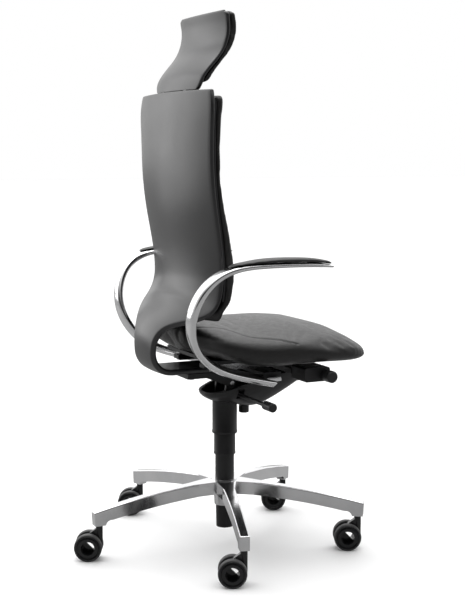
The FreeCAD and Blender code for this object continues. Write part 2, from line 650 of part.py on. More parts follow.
def strap_stations():
    """The strap's curl: a round turn from upright to level."""
    rows = []
    centre_y = strap_turn_y()
    centre_z = STRAP_BOTTOM + STRAP_BOW + STRAP_TURN_RADIUS
    for degrees in (20, 45, 70, 90):
        angle = math.radians(degrees)
        y = centre_y + STRAP_TURN_RADIUS * math.cos(angle)
        z = centre_z - STRAP_TURN_RADIUS * math.sin(angle)
        rows.append((STRAP_HALF_WIDTH, y, z, STRAP_BOW))
    return rows


def back_slices():
    """A bowed slice at every station, square to the edge line."""
    rows = smooth_rows(BACK_STATIONS + strap_stations(), 30, (1, 2))
    wires = []
    for index, (half_width, edge_y, edge_z, bow) in enumerate(rows):
        before = rows[max(index - 1, 0)]
        after = rows[min(index + 1, len(rows) - 1)]
        along = point(0, after[1] - before[1], after[2] - before[2]).normalize()
        if index == len(rows) - 1:
            along = point(0, -1, 0)
        inward = point(0, along.z, -along.y)
        share = min(max((SHELL_WAIST_HALF - half_width) / (SHELL_WAIST_HALF - STRAP_HALF_WIDTH), 0), 1)
        thickness = SHELL_THICKNESS + (STRAP_THICKNESS - SHELL_THICKNESS) * share
        centre = point(0, edge_y, edge_z) - inward * bow
        wires.append(bowed_section(centre, half_width, bow, inward, thickness))
    return wires


def back_shell():
    curved = loft(back_slices())
    centre = point(0, strap_turn_y(), STRAP_BOTTOM)
    end = bowed_section(centre, STRAP_HALF_WIDTH, STRAP_BOW, Z_AXIS, STRAP_THICKNESS)
    run = Part.Face(end).extrude(point(0, STRAP_FRONT_Y - strap_turn_y(), 0))
    return curved.fuse(run)


# The pad's front edge line: z, y.
PAD_FRONT = [(560, 84), (586, 82), (620, 64), (660, 56), (700, 58), (740, 66), (780, 75), (820, 85),
             (860, 92), (900, 97), (960, 99), (1020, 95), (1060, 90), (1090, 86)]
# How much narrower than the shell the pad is at its lower end: z, inset.
PAD_TAPER = [(560, 16), (576, 8), (590, 3), (606, 0)]
# Extra room in front of the shell where its face leans away near the bottom: z, extra.
LUMBAR_ROOM = [(560, 14), (586, 9), (620, 5), (660, 1), (700, 0)]
# The shell's outer face: z, half width, edge y, centre y.
SHELL_FACE = [(row[2], row[0], row[1], row[1] + row[3]) for row in reversed(BACK_STATIONS[:10])]


def slice_outline(z, half_width, rear_edge, rear_centre, front_edge, front_centre):
    """A level slice between a rear arc and a front arc."""
    rear_left = point(-half_width, rear_edge, z)
    rear_right = point(half_width, rear_edge, z)
    front_left = point(-half_width, front_edge, z)
    front_right = point(half_width, front_edge, z)
    rear = Part.Arc(rear_left, point(0, rear_centre, z), rear_right).toShape()
    front = Part.Arc(front_right, point(0, front_centre, z), front_left).toShape()
    right = Part.makeLine(rear_right, front_right)
    left = Part.makeLine(front_left, rear_left)
    return Part.Wire([rear, right, front, left])


def level_slices(bottom, top, count, inset, rear_offset, layer_depth, end_trim):
    """Level slices of a layer inside the back: layer_depth thick, or out to the pad's front line."""
    wires = []
    for index in range(count):
        z = bottom + (top - bottom) * index / (count - 1)
        half_width, edge_y, centre_y = blend_values(SHELL_FACE, z)
        half_width -= blend_values(PAD_TAPER, z)[0]
        front_edge = blend_values(PAD_FRONT, z)[0]
        end_share = min(index, count - 1 - index)
        trim = end_trim if end_share == 0 else 0
        rear_edge = edge_y - rear_offset - blend_values(LUMBAR_ROOM, z)[0]
        front = front_edge + trim if layer_depth is None else rear_edge - layer_depth
        bow = centre_y - edge_y
        front_bow = bow * PAD_BOW_SHARE if layer_depth is None else bow
        wires.append(slice_outline(z, half_width - inset - trim, rear_edge, rear_edge + bow,
                                   front, front + front_bow))
    return wires


# Headrest stations: z, rear face y, half width, front of the pad y.
HEADREST_STATIONS = [
    (1086, 133, HEADREST_HALF_WIDTH - 12, 124),
    (1104, 131, HEADREST_HALF_WIDTH, 117),
    (1120, 126, HEADREST_HALF_WIDTH + 1, 98),
    (1140, 113, HEADREST_HALF_WIDTH + 2, 80),
    (1160, 96, HEADREST_HALF_WIDTH + 3, 64),
    (1180, 80, HEADREST_HALF_WIDTH + 3, 51),
    (1200, 70, HEADREST_HALF_WIDTH + 3, 41),
    (1222, 65, HEADREST_HALF_WIDTH + 3, 36),
    (1245, 66, HEADREST_HALF_WIDTH + 3, 37),
    (1257, 68, HEADREST_HALF_WIDTH + 1, 40),
    (1264, 69, HEADREST_HALF_WIDTH - 9, 44),
]


def headrest_slices(lowest, rear_gap, plate_thickness, inset):
    """Slices square to the headrest's curved line, from the lowest wanted height to the top."""
    rows = smooth_rows(HEADREST_STATIONS, 16, (0, 1))
    wires = []
    for index, (z, y, half_width, front) in enumerate(rows):
        if z < lowest:
            continue
        before = rows[max(index - 1, 0)]
        after = rows[min(index + 1, len(rows) - 1)]
        along = point(0, after[1] - before[1], after[0] - before[0]).normalize()
        inward = point(0, -along.z, along.y)
        start = point(0, y, z) + inward * rear_gap
        bow = HEADREST_BOW * (half_width / HEADREST_HALF_WIDTH) ** 2
        thickness = plate_thickness or (y - front) * along.z - rear_gap
        wires.append(bowed_section(start, half_width - inset, bow, inward, thickness))
    return wires


def make_headrest():
    tongue_rear = HEADREST_STATIONS[0][1] - 2.5
    tongue_front = tongue_rear - HEADREST_SHELL_THICKNESS + 1.5
    tongue = box((-HEADREST_TONGUE_HALF_WIDTH, tongue_front, HEADREST_TONGUE_BOTTOM),
                 (HEADREST_TONGUE_HALF_WIDTH, tongue_rear, HEADREST_STATIONS[0][0] + 6))
    curved = loft(headrest_slices(0, 0, HEADREST_SHELL_THICKNESS, 0))
    save("headrest_shell", fuse([curved, tongue]))
    gap = HEADREST_SHELL_THICKNESS + GAP
    save("headrest_cushion", loft(headrest_slices(HEADREST_PAD_BOTTOM, gap, None, 1)))
    outer = HEADREST_TONGUE_HALF_WIDTH + 10
    block = box((HEADREST_TONGUE_HALF_WIDTH - 10, tongue_front - 3, HEADREST_TONGUE_BOTTOM + 2),
                (outer, tongue_rear + 3, HEADREST_TONGUE_BOTTOM + 44))
    channel = box((0, tongue_front - GAP, 900), (HEADREST_TONGUE_HALF_WIDTH + GAP, tongue_rear + GAP, 1100))
    guides = Part.makeCompound([block.cut(channel), mirrored(block.cut(channel))])
    save("headrest_guides", guides.cut(inner_panel()))


def inner_panel():
    panel_offset = SHELL_THICKNESS + 1.0
    slices = level_slices(PANEL_BOTTOM, BACK_PAD_TOP - 12, 13, 6, panel_offset, PANEL_THICKNESS, 0)
    return loft(slices)


def make_back():
    plate_bottom = STRAP_BOTTOM - CARRIER_PLATE_THICKNESS
    plate = box((-CARRIER_PLATE_HALF, STRAP_FRONT_Y - 10, plate_bottom),
                (CARRIER_PLATE_HALF, CARRIER_PLATE_END_Y, STRAP_BOTTOM))
    cheek_gap = EAR_GAP_HALF + EAR_THICKNESS + 2
    parts = [plate]
    for start in (cheek_gap, -cheek_gap - CHEEK_THICKNESS):
        eye = cylinder(EAR_RADIUS, (start, RECLINE_Y, RECLINE_Z), CHEEK_THICKNESS, X_AXIS)
        outline = [point(start, RECLINE_Y - 4, RECLINE_Z + EAR_RADIUS * 0.9),
                   point(start, RECLINE_Y + 4, RECLINE_Z - EAR_RADIUS * 0.9),
                   point(start, STRAP_FRONT_Y + 40, plate_bottom),
                   point(start, STRAP_FRONT_Y + 40, plate_bottom + 6),
                   point(start, STRAP_FRONT_Y - 10, plate_bottom + 6)]
        parts.append(fuse([eye, prism(outline, point(CHEEK_THICKNESS, 0, 0))]))
    carrier = fuse(parts).cut(back_shell())
    shaft_radius = RECLINE_SHAFT_RADIUS + FIT_CLEARANCE
    carrier = carrier.cut(cylinder(shaft_radius, (-80, RECLINE_Y, RECLINE_Z), 160, X_AXIS))
    screw_places = [(x, y) for x in (-28, 28) for y in (STRAP_FRONT_Y + 20, STRAP_FRONT_Y + 70)]
    screws = []
    for x, y in screw_places:
        head = cylinder(6, (x, y, plate_bottom - 4), 4)
        screws.append(fuse([head, cylinder(3, (x, y, plate_bottom), CARRIER_PLATE_THICKNESS + 9)]))
    carrier = carrier.cut(Part.makeCompound(screws))
    save("back_carrier", carrier)
    save("back_screws", Part.makeCompound(screws))
    shell = back_shell().cut(Part.makeCompound(screws))
    save("back_shell", shell)

    save("back_inner_panel", inner_panel())
    pad_offset = SHELL_THICKNESS + 1.0 + PANEL_THICKNESS + 0.6
    pad = loft(level_slices(BACK_PAD_BOTTOM, BACK_PAD_TOP, 15, 2, pad_offset, None, 5))
    pocket_half = HEADREST_HALF_WIDTH + 6
    pocket_front = HEADREST_STATIONS[0][1] - HEADREST_SLOT + 2
    pocket = box((-pocket_half, pocket_front, HEADREST_TONGUE_BOTTOM - 8),
                 (pocket_half, 200, BACK_PAD_TOP + 20))
    save("back_cushion", pad.cut(pocket).cut(inner_panel()))


# ---------------------------------------------------------------- seat

# Stations along the seat cushion from the nose rearward: y, half width, underside z, top z.
SEAT_STATIONS = [
    (-284, SEAT_HALF_WIDTH - 96, 466, 492),
    (-272, SEAT_HALF_WIDTH - 41, 459, 508),
    (-238, SEAT_HALF_WIDTH - 10, 455, 525),
    (-180, SEAT_HALF_WIDTH, 455, 537),
    (-120, SEAT_HALF_WIDTH, 455, 544),
    (-60, SEAT_HALF_WIDTH - 3, 453, 547),
    (0, SEAT_HALF_WIDTH - 13, 454, 546),
    (50, SEAT_HALF_WIDTH - 30, 466, 549),
    (98, SEAT_HALF_WIDTH - 56, 484, 553),
    (134, SEAT_HALF_WIDTH - 98, 496, 552),
    (150, SEAT_HALF_WIDTH - 142, 506, 544),
]


def seat_cushion():
    wires = []
    for y, half_width, low, high in smooth_rows(SEAT_STATIONS, 18, (0, 1)):
        centre = point(0, y, (low + high) / 2)
        wires.append(rounded_section(centre, X_AXIS, Z_AXIS, half_width, (high - low) / 2, 4.0, 20))
    pocket_half = PAN_HALF_WIDTH + PAN_CLEARANCE
    pocket = box((-pocket_half, PAN_FRONT_Y - PAN_CLEARANCE, 400),
                 (pocket_half, PAN_REAR_Y + PAN_CLEARANCE, PAN_BOTTOM + PAN_THICKNESS + GAP))
    return loft(wires).cut(pocket)


def crossbar(front_y, rear_y, half_width, bottom, block_half):
    top = CARRIER_BOTTOM - RAIL_CLEARANCE - RAIL_WALL - RAIL_CLEARANCE
    bar = box((-half_width, front_y, bottom), (half_width, rear_y, top))
    block = box((-block_half, front_y, bottom), (block_half, rear_y, CARRIER_BOTTOM))
    return bar.fuse(block)


def make_seat():
    plate = box((-CARRIER_HALF_WIDTH, CARRIER_FRONT_Y, CARRIER_BOTTOM),
                (CARRIER_HALF_WIDTH, CARRIER_REAR_Y, CARRIER_TOP))
    notch = box((-STRAP_HALF_WIDTH - 8, ARM_BAR_REAR + 34, 300), (STRAP_HALF_WIDTH + 8, 300, 600))
    block_half = CARRIER_HALF_WIDTH - RAIL_LIP - 8
    bars = [crossbar(ARM_BAR_FRONT, ARM_BAR_REAR, ARM_BAR_HALF, CROSSBAR_BOTTOM, block_half),
            crossbar(CONTROL_BAR_FRONT, CONTROL_BAR_REAR, CONTROL_BAR_HALF, CONTROL_BAR_BOTTOM, block_half)]
    lug_start = FRONT_EAR_GAP_HALF + EAR_THICKNESS + 1.5
    lugs = []
    for start in (lug_start, -lug_start - EAR_THICKNESS + 1.5):
        thickness = EAR_THICKNESS - 1.5
        eye = cylinder(EAR_RADIUS - 0.5, (start, SEAT_PIVOT_Y, SEAT_PIVOT_Z), thickness, X_AXIS)
        web = box((start, SEAT_PIVOT_Y - 10, SEAT_PIVOT_Z),
                  (start + thickness, SEAT_PIVOT_Y + 10, CARRIER_BOTTOM))
        lugs.append(eye.fuse(web))
    carrier = fuse([plate.cut(notch)] + bars + lugs)
    pivot_radius = SEAT_PIVOT_SHAFT_RADIUS + FIT_CLEARANCE
    carrier = carrier.cut(cylinder(pivot_radius, (-90, SEAT_PIVOT_Y, SEAT_PIVOT_Z), 180, X_AXIS))
    screws = arm_screws()
    save("seat_carrier", carrier.cut(screws))
    save("arm_screws", screws)

    rail_outer = CARRIER_HALF_WIDTH + RAIL_CLEARANCE + RAIL_WALL
    rail_low = CARRIER_BOTTOM - RAIL_CLEARANCE - RAIL_WALL
    rail = box((rail_outer - RAIL_WALL - RAIL_LIP, PAN_FRONT_Y + 10, rail_low),
               (rail_outer, PAN_REAR_Y - 10, PAN_BOTTOM))
    inside = box((0, -400, CARRIER_BOTTOM - RAIL_CLEARANCE),
                 (CARRIER_HALF_WIDTH + RAIL_CLEARANCE, 400, CARRIER_TOP + RAIL_CLEARANCE))
    rail = rail.cut(inside)
    pan_top = PAN_BOTTOM + PAN_THICKNESS
    pan = box((-PAN_HALF_WIDTH, PAN_FRONT_Y, PAN_BOTTOM), (PAN_HALF_WIDTH, PAN_REAR_Y, pan_top))
    corners = [edge for edge in pan.Edges if abs(edge.BoundBox.ZLength - PAN_THICKNESS) < 0.1]
    pan = pan.makeFillet(PAN_CORNER_RADIUS, corners)
    screws = []
    screw_x = rail_outer - RAIL_WALL - RAIL_LIP / 2
    for x in (-screw_x, screw_x):
        for y in (PAN_FRONT_Y + 35, (PAN_FRONT_Y + PAN_REAR_Y) / 2, PAN_REAR_Y - 35):
            head = cone(2.5, 5.5, (x, y, pan_top - 3), 3)
            shank = cylinder(2.5, (x, y, CARRIER_TOP + RAIL_CLEARANCE + 0.5), pan_top - CARRIER_TOP - 3)
            screws.append(fuse([head, shank]))
    screws = Part.makeCompound(screws)
    save("slide_rails", Part.makeCompound([rail, mirrored(rail)]).cut(screws))
    save("seat_pan", pan.cut(screws))
    save("rail_screws", screws)
    save("seat_cushion", seat_cushion())

    bracket = box((CONTROL_BAR_HALF, KNOB_Y - 14, 419), (205, CONTROL_BAR_REAR - 2, 452))
    bracket = bracket.makeFillet(5, [edge for edge in bracket.Edges if edge.BoundBox.XLength > 50])
    shaft_start = CONTROL_BAR_HALF + 12
    knob_bore_start = (shaft_start - 2, KNOB_Y, KNOB_Z)
    bracket = bracket.cut(cylinder(KNOB_SHAFT_RADIUS + FIT_CLEARANCE, knob_bore_start, 80, X_AXIS))
    save("control_brackets", Part.makeCompound([bracket, mirrored(bracket)]))
    grip_start = KNOB_END_X - KNOB_LENGTH
    grip = cylinder(KNOB_RADIUS, (grip_start, KNOB_Y, KNOB_Z), KNOB_LENGTH, X_AXIS)
    grip = grip.makeFillet(4.5, [edge for edge in grip.Edges if edge.Closed])
    stub = cylinder(KNOB_SHAFT_RADIUS, (shaft_start, KNOB_Y, KNOB_Z), grip_start - shaft_start + 8, X_AXIS)
    knob = fuse([grip, stub])
    save("depth_knob", knob)
    save("lock_knob", mirrored(knob))


# ---------------------------------------------------------------- arms

# Stations along an arm's middle line: y, z, thickness. It runs from under the seat, round
# the open loop and forward under the pad.
ARM_STATIONS = [
    (-66, 416, ARM_THICKNESS + 1),
    (-30, 424, ARM_THICKNESS + 1),
    (0, 431, ARM_THICKNESS + 1),
    (50, 444, ARM_THICKNESS),
    (92, 458, ARM_THICKNESS),
    (128, 477, ARM_THICKNESS),
    (156, 502, ARM_THICKNESS),
    (175, 531, ARM_THICKNESS),
    (185, 562, ARM_THICKNESS),
    (186, 592, ARM_THICKNESS),
    (181, 617, ARM_THICKNESS),
    (171, 641, ARM_THICKNESS),
    (154, 664, ARM_THICKNESS),
    (130, 682, ARM_THICKNESS),
    (97, 694, ARM_THICKNESS - 2),
    (55, 699, ARM_THICKNESS - 4),
    (0, 700, ARM_TIP_THICKNESS + 1),
    (-70, 699, ARM_TIP_THICKNESS),
    (-120, 696, ARM_TIP_THICKNESS - 2),
    (-138, 694, ARM_TIP_THICKNESS - 4),
]


def arm_x(z):
    return -(ARM_REFERENCE_X + ARM_LEAN * (z - ARM_REFERENCE_Z))


def arm_right():
    wires = []
    rows = smooth_rows(ARM_STATIONS, 30, (0, 1))
    for index, (y, z, thickness) in enumerate(rows):
        before = rows[max(index - 1, 0)]
        after = rows[min(index + 1, len(rows) - 1)]
        rise = after[1] - before[1]
        along = point(arm_x(after[1]) - arm_x(before[1]), after[0] - before[0], rise).normalize()
        level = min(max((z - 600) / 90, 0), 1)
        across = point(1, 0, ARM_LEAN * (1 - level))
        across = (across - along * across.dot(along)).normalize()
        outward = along.cross(across)
        middle = point(arm_x(z), y, z)
        wires.append(rounded_section(middle, across, outward, ARM_HALF_WIDTH, thickness / 2, ARM_POWER))
    band = loft(wires)
    slant = [(-24, 400), (-64, 440), (-120, 440), (-120, 400)]
    band = band.cut(prism([point(-300, y, z) for y, z in slant], point(200, 0, 0)))
    foot = box((-ARM_BAR_HALF, ARM_BAR_FRONT + 8, ARM_FOOT_TOP - ARM_FOOT_THICKNESS),
               (-118, ARM_BAR_REAR - 2, ARM_FOOT_TOP))
    band = band.cut(box((-ARM_BAR_HALF - 1, -80, ARM_FOOT_TOP), (-100, ARM_BAR_REAR + 1, 470)))
    return fuse([band, foot])


def arm_screws():
    screws = []
    for x in (-126.0, -140.0):
        for side in (-1, 1):
            y = (ARM_BAR_FRONT + ARM_BAR_REAR) / 2 + 9 * (1 if x == -126.0 else -1)
            low = ARM_FOOT_TOP - ARM_FOOT_THICKNESS
            head = cylinder(5, (side * x, y, low - 4), 4)
            screws.append(fuse([head, cylinder(2.5, (side * x, y, low), ARM_FOOT_THICKNESS + 7)]))
    return Part.makeCompound(screws)


# Stations along an arm pad: y, half width, top z.
ARM_PAD_STATIONS = [
    (114, 9, 703),
    (104, 15, 706),
    (80, 20, 710),
    (40, ARM_PAD_HALF_WIDTH, 715),
    (-20, ARM_PAD_HALF_WIDTH + 1, 717),
    (-75, ARM_PAD_HALF_WIDTH, 715),
    (-115, ARM_PAD_HALF_WIDTH - 3, 710),
    (-134, 16, 705),
    (-140, 9, 702),
]


def arm_pad_right():
    wires = []
    middle_x = arm_x(700)
    arm_line = [(row[0], row[1], row[2]) for row in reversed(ARM_STATIONS[-7:])]
    for y, half_width, high in smooth_rows(ARM_PAD_STATIONS, 14, (0, 1)):
        centre_z, thickness = blend_values(arm_line, y)
        low = centre_z + thickness / 2 + 0.6
        if high - low < 3:
            low = high - 3
        wires.append(rounded_section(point(middle_x, y, (high + low) / 2), X_AXIS, Z_AXIS, half_width,
                                     (high - low) / 2, 2.8))
    return loft(wires)


def make_arms():
    right = arm_right().cut(arm_screws())
    pad = arm_pad_right().cut(arm_right())
    save("arm_right", right)
    save("arm_left", mirrored(right))
    save("arm_pad_right", pad)
    save("arm_pad_left", mirrored(pad))


def make_all():
    os.makedirs("parts", exist_ok=True)
    make_base()
    make_column()
    make_mechanism()
    make_back()
    make_headrest()
    make_seat()
    make_arms()


make_all()
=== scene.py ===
"""Swivel office chair: the looks of every piece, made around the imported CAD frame."""
import json
import math

import bmesh
import bpy
import numpy as np
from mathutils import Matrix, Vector
from mathutils.bvhtree import BVHTree


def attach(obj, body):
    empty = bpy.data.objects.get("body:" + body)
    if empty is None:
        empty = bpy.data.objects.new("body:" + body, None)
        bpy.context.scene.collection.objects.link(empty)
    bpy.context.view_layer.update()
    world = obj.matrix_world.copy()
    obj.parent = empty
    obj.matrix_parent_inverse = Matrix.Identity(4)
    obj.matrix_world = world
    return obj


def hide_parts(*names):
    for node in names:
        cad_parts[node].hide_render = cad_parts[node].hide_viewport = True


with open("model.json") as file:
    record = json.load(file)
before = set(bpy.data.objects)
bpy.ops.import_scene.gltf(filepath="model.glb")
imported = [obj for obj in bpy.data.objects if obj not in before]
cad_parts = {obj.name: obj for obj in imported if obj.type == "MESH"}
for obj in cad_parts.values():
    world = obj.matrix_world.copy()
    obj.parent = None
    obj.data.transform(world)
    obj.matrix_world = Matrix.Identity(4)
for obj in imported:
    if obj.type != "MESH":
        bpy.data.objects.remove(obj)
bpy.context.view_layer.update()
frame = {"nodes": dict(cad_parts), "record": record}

MM = 0.001
SIDES = {"right": -1, "left": 1}
CASTERS = range(1, 6)


# ------------------------------------------------------------------ camera, light and floor

CAMERA_PLACE = (-2.690, 1.283, 0.9426)
CAMERA_TARGET = (0.0, 0.0, 0.6)
CAMERA_LENS = 74.88
CAMERA_SHIFT = (0.0131, -0.0031)
BACKDROP_SIDE = Vector((0.90, -0.43, 0.10)).normalized()


def aim(thing, place, target):
    """Put a camera or lamp at a place, looking at its target."""
    thing.location = place
    thing.rotation_euler = (Vector(target) - Vector(place)).to_track_quat("-Z", "Y").to_euler()


def make_camera():
    data = bpy.data.cameras.new("camera")
    data.lens = CAMERA_LENS
    data.sensor_width = 36.0
    data.shift_x, data.shift_y = CAMERA_SHIFT
    data.clip_start, data.clip_end = 0.1, 100.0
    camera = bpy.data.objects.new("camera", data)
    bpy.context.scene.collection.objects.link(camera)
    aim(camera, CAMERA_PLACE, CAMERA_TARGET)
    bpy.context.scene.camera = camera


def softbox(name, place, target, size, power):
    data = bpy.data.lights.new(name, "AREA")
    data.shape = "RECTANGLE"
    data.size, data.size_y = size
    data.energy = power
    lamp = bpy.data.objects.new(name, data)
    bpy.context.scene.collection.objects.link(lamp)
    aim(lamp, place, target)


def make_world():
    """A white backdrop on the far side, fading to a dim studio on the near side."""
    world = bpy.data.worlds.new("studio")
    world.use_nodes = True
    bpy.context.scene.world = world
    nodes = world.node_tree.nodes
    links = world.node_tree.links
    nodes.clear()
    direction = nodes.new("ShaderNodeTexCoord")
    toward = nodes.new("ShaderNodeVectorMath")
    toward.operation = "DOT_PRODUCT"
    toward.inputs[1].default_value = BACKDROP_SIDE
    links.new(direction.outputs["Generated"], toward.inputs[0])
    spread = nodes.new("ShaderNodeMapRange")
    spread.interpolation_type = "SMOOTHSTEP"
    spread.inputs["From Min"].default_value = -0.45
    spread.inputs["From Max"].default_value = 0.75
    spread.inputs["To Min"].default_value = 0.04
    spread.inputs["To Max"].default_value = 1.15
    links.new(toward.outputs["Value"], spread.inputs["Value"])
    split = nodes.new("ShaderNodeSeparateXYZ")
    links.new(direction.outputs["Generated"], split.inputs["Vector"])
    ceiling = nodes.new("ShaderNodeMapRange")
    ceiling.interpolation_type = "SMOOTHSTEP"
    ceiling.inputs["From Min"].default_value = 0.35
    ceiling.inputs["From Max"].default_value = 0.95
    ceiling.inputs["To Max"].default_value = 1.25
    links.new(split.outputs["Z"], ceiling.inputs["Value"])
    total = nodes.new("ShaderNodeMath")
    links.new(spread.outputs["Result"], total.inputs[0])
    links.new(ceiling.outputs["Result"], total.inputs[1])
    around = nodes.new("ShaderNodeBackground")
    around.inputs["Color"].default_value = (1, 1, 1, 1)
    links.new(total.outputs["Value"], around.inputs["Strength"])
    seen = nodes.new("ShaderNodeBackground")
    seen.inputs["Color"].default_value = (1, 1, 1, 1)
    seen.inputs["Strength"].default_value = 1.0
    path = nodes.new("ShaderNodeLightPath")
    choose = nodes.new("ShaderNodeMixShader")
    links.new(path.outputs["Is Camera Ray"], choose.inputs["Fac"])
    links.new(around.outputs["Background"], choose.inputs[1])
    links.new(seen.outputs["Background"], choose.inputs[2])
    output = nodes.new("ShaderNodeOutputWorld")
    links.new(choose.outputs["Shader"], output.inputs["Surface"])


FLOOR_SEEN = (0.93, 0.93, 0.93)
FLOOR_BOUNCE = (0.24, 0.24, 0.24)
FLOOR_REACH = 40.0


def make_floor():
    """A pale floor, which throws little light back up, as a studio table on black legs does."""
    corners = [(x * FLOOR_REACH, y * FLOOR_REACH, 0) for x, y in ((-1, -1), (1, -1), (1, 1), (-1, 1))]
    mesh = bpy.data.meshes.new("floor")
    mesh.from_pydata(corners, [], [(0, 1, 2, 3)])
    floor = bpy.data.objects.new("floor", mesh)
    bpy.context.scene.collection.objects.link(floor)
    paint = bpy.data.materials.new("floor_paint")
    paint.use_nodes = True
    nodes, links = paint.node_tree.nodes, paint.node_tree.links
    shader = nodes["Principled BSDF"]
    shader.inputs["Roughness"].default_value = 0.6
    shader.inputs["Specular IOR Level"].default_value = 0.2
    path = nodes.new("ShaderNodeLightPath")
    tone = nodes.new("ShaderNodeMix")
    tone.data_type = "RGBA"
    tone.inputs["A"].default_value = (*FLOOR_BOUNCE, 1)
    tone.inputs["B"].default_value = (*FLOOR_SEEN, 1)
    links.new(path.outputs["Is Camera Ray"], tone.inputs["Factor"])
    links.new(tone.outputs["Result"], shader.inputs["Base Color"])
    mesh.materials.append(paint)


def make_studio():
    make_camera()
    make_world()
    softbox("overhead", (0.5, 0.3, 3.2), (0, 0, 0.5), (2.6, 2.6), 34)
    softbox("back_wall", (2.6, 1.7, 1.5), (0, 0, 0.8), (1.6, 2.4), 14)
    softbox("near_fill", (-2.2, -2.4, 1.8), (0, 0, 0.5), (1.4, 1.4), 4)
    make_floor()
    bpy.context.scene.view_settings.view_transform = "Standard"


# ------------------------------------------------------------------ materials

def new_material(name, color, roughness, metallic=0.0):
    material = bpy.data.materials.new(name)
    material.use_nodes = True
    shader = material.node_tree.nodes["Principled BSDF"]
    shader.inputs["Base Color"].default_value = (*color, 1)
    shader.inputs["Roughness"].default_value = roughness
    shader.inputs["Metallic"].default_value = metallic
    material.diffuse_color = (*color, 1)
    return material, material.node_tree.nodes, material.node_tree.links, shader


def object_noise(nodes, links, scale, detail=3.0, stretch=(1, 1, 1)):
    """Noise in the piece's own coordinates."""
    place = nodes.new("ShaderNodeTexCoord")
    mapping = nodes.new("ShaderNodeMapping")
    mapping.inputs["Scale"].default_value = stretch
    noise = nodes.new("ShaderNodeTexNoise")
    noise.inputs["Scale"].default_value = scale
    noise.inputs["Detail"].default_value = detail
    links.new(place.outputs["Object"], mapping.inputs["Vector"])
    links.new(mapping.outputs["Vector"], noise.inputs["Vector"])
    return noise


def vary_color(nodes, links, shader, source, dark, light):
    ramp = nodes.new("ShaderNodeValToRGB")
    ramp.color_ramp.elements[0].position = 0.3
    ramp.color_ramp.elements[1].position = 0.7
    ramp.color_ramp.elements[0].color = (*dark, 1)
    ramp.color_ramp.elements[1].color = (*light, 1)
    links.new(source, ramp.inputs["Fac"])
    links.new(ramp.outputs["Color"], shader.inputs["Base Color"])


def vary_roughness(nodes, links, shader, source, low, high):
    spread = nodes.new("ShaderNodeMapRange")
    spread.inputs["From Min"].default_value = 0.3
    spread.inputs["From Max"].default_value = 0.7
    spread.inputs["To Min"].default_value = low
    spread.inputs["To Max"].default_value = high
    links.new(source, spread.inputs["Value"])
    links.new(spread.outputs["Result"], shader.inputs["Roughness"])


def add_bump(nodes, links, shader, heights, distance, strength):
    """Bumps from one or more height sources, chained."""
    normal = None
    for source, share in heights:
        bump = nodes.new("ShaderNodeBump")
        bump.inputs["Distance"].default_value = distance * share
        bump.inputs["Strength"].default_value = strength
        links.new(source, bump.inputs["Height"])
        if normal:
            links.new(normal, bump.inputs["Normal"])
        normal = bump.outputs["Normal"]
    links.new(normal, shader.inputs["Normal"])


def leather_material():
    material, nodes, links, shader = new_material("black_leather", (0.014, 0.0135, 0.0135), 0.4)
    place = nodes.new("ShaderNodeTexCoord")
    grain = nodes.new("ShaderNodeTexVoronoi")
    grain.feature = "DISTANCE_TO_EDGE"
    grain.inputs["Scale"].default_value = 620.0
    links.new(place.outputs["Object"], grain.inputs["Vector"])
    cell = nodes.new("ShaderNodeMapRange")
    cell.inputs["From Max"].default_value = 0.16
    links.new(grain.outputs["Distance"], cell.inputs["Value"])
    creases = object_noise(nodes, links, 95.0, 6.0)
    patches = object_noise(nodes, links, 9.0, 3.0)
    dark, light = (0.011, 0.0105, 0.0105), (0.018, 0.0175, 0.017)
    vary_color(nodes, links, shader, patches.outputs["Fac"], dark, light)
    vary_roughness(nodes, links, shader, creases.outputs["Fac"], 0.34, 0.46)
    heights = [(creases.outputs["Fac"], 3.0), (cell.outputs["Result"], 0.6)]
    add_bump(nodes, links, shader, heights, 0.00022, 0.55)
    shader.inputs["Specular IOR Level"].default_value = 0.55
    shader.inputs["Sheen Weight"].default_value = 0.05
    shader.inputs["Sheen Roughness"].default_value = 0.4
    return material


def thread_material():
    material, nodes, links, shader = new_material("seam_thread", (0.02, 0.02, 0.02), 0.6)
    twist = object_noise(nodes, links, 2200.0, 2.0)
    vary_color(nodes, links, shader, twist.outputs["Fac"], (0.012, 0.012, 0.012), (0.035, 0.034, 0.033))
    add_bump(nodes, links, shader, [(twist.outputs["Fac"], 1.0)], 0.0001, 0.6)
    return material


def shell_material():
    """Satin moulded plastic: a very fine spark texture over broad, slow waves in the gloss."""
    material, nodes, links, shader = new_material("satin_shell", (0.018, 0.018, 0.019), 0.30)
    spark = object_noise(nodes, links, 2600.0, 2.0)
    slow = object_noise(nodes, links, 14.0, 4.0)
    vary_color(nodes, links, shader, slow.outputs["Fac"], (0.016, 0.016, 0.017), (0.020, 0.020, 0.021))
    vary_roughness(nodes, links, shader, slow.outputs["Fac"], 0.28, 0.33)
    add_bump(nodes, links, shader, [(spark.outputs["Fac"], 1.0)], 0.00003, 0.35)
    shader.inputs["Specular IOR Level"].default_value = 0.75
    return material


def plastic_material(name, color, roughness, grain=0.00006, specular=0.5):
    """Moulded plastic with a fine spark grain."""
    material, nodes, links, shader = new_material(name, color, roughness)
    spark = object_noise(nodes, links, 1500.0, 3.0)
    slow = object_noise(nodes, links, 30.0, 3.0)
    lighter = tuple(min(channel * 1.25 + 0.002, 1) for channel in color)
    vary_color(nodes, links, shader, slow.outputs["Fac"], color, lighter)
    vary_roughness(nodes, links, shader, slow.outputs["Fac"], roughness * 0.88, roughness * 1.12)
    add_bump(nodes, links, shader, [(spark.outputs["Fac"], 1.0)], grain, 0.4)
    shader.inputs["Specular IOR Level"].default_value = specular
    return material


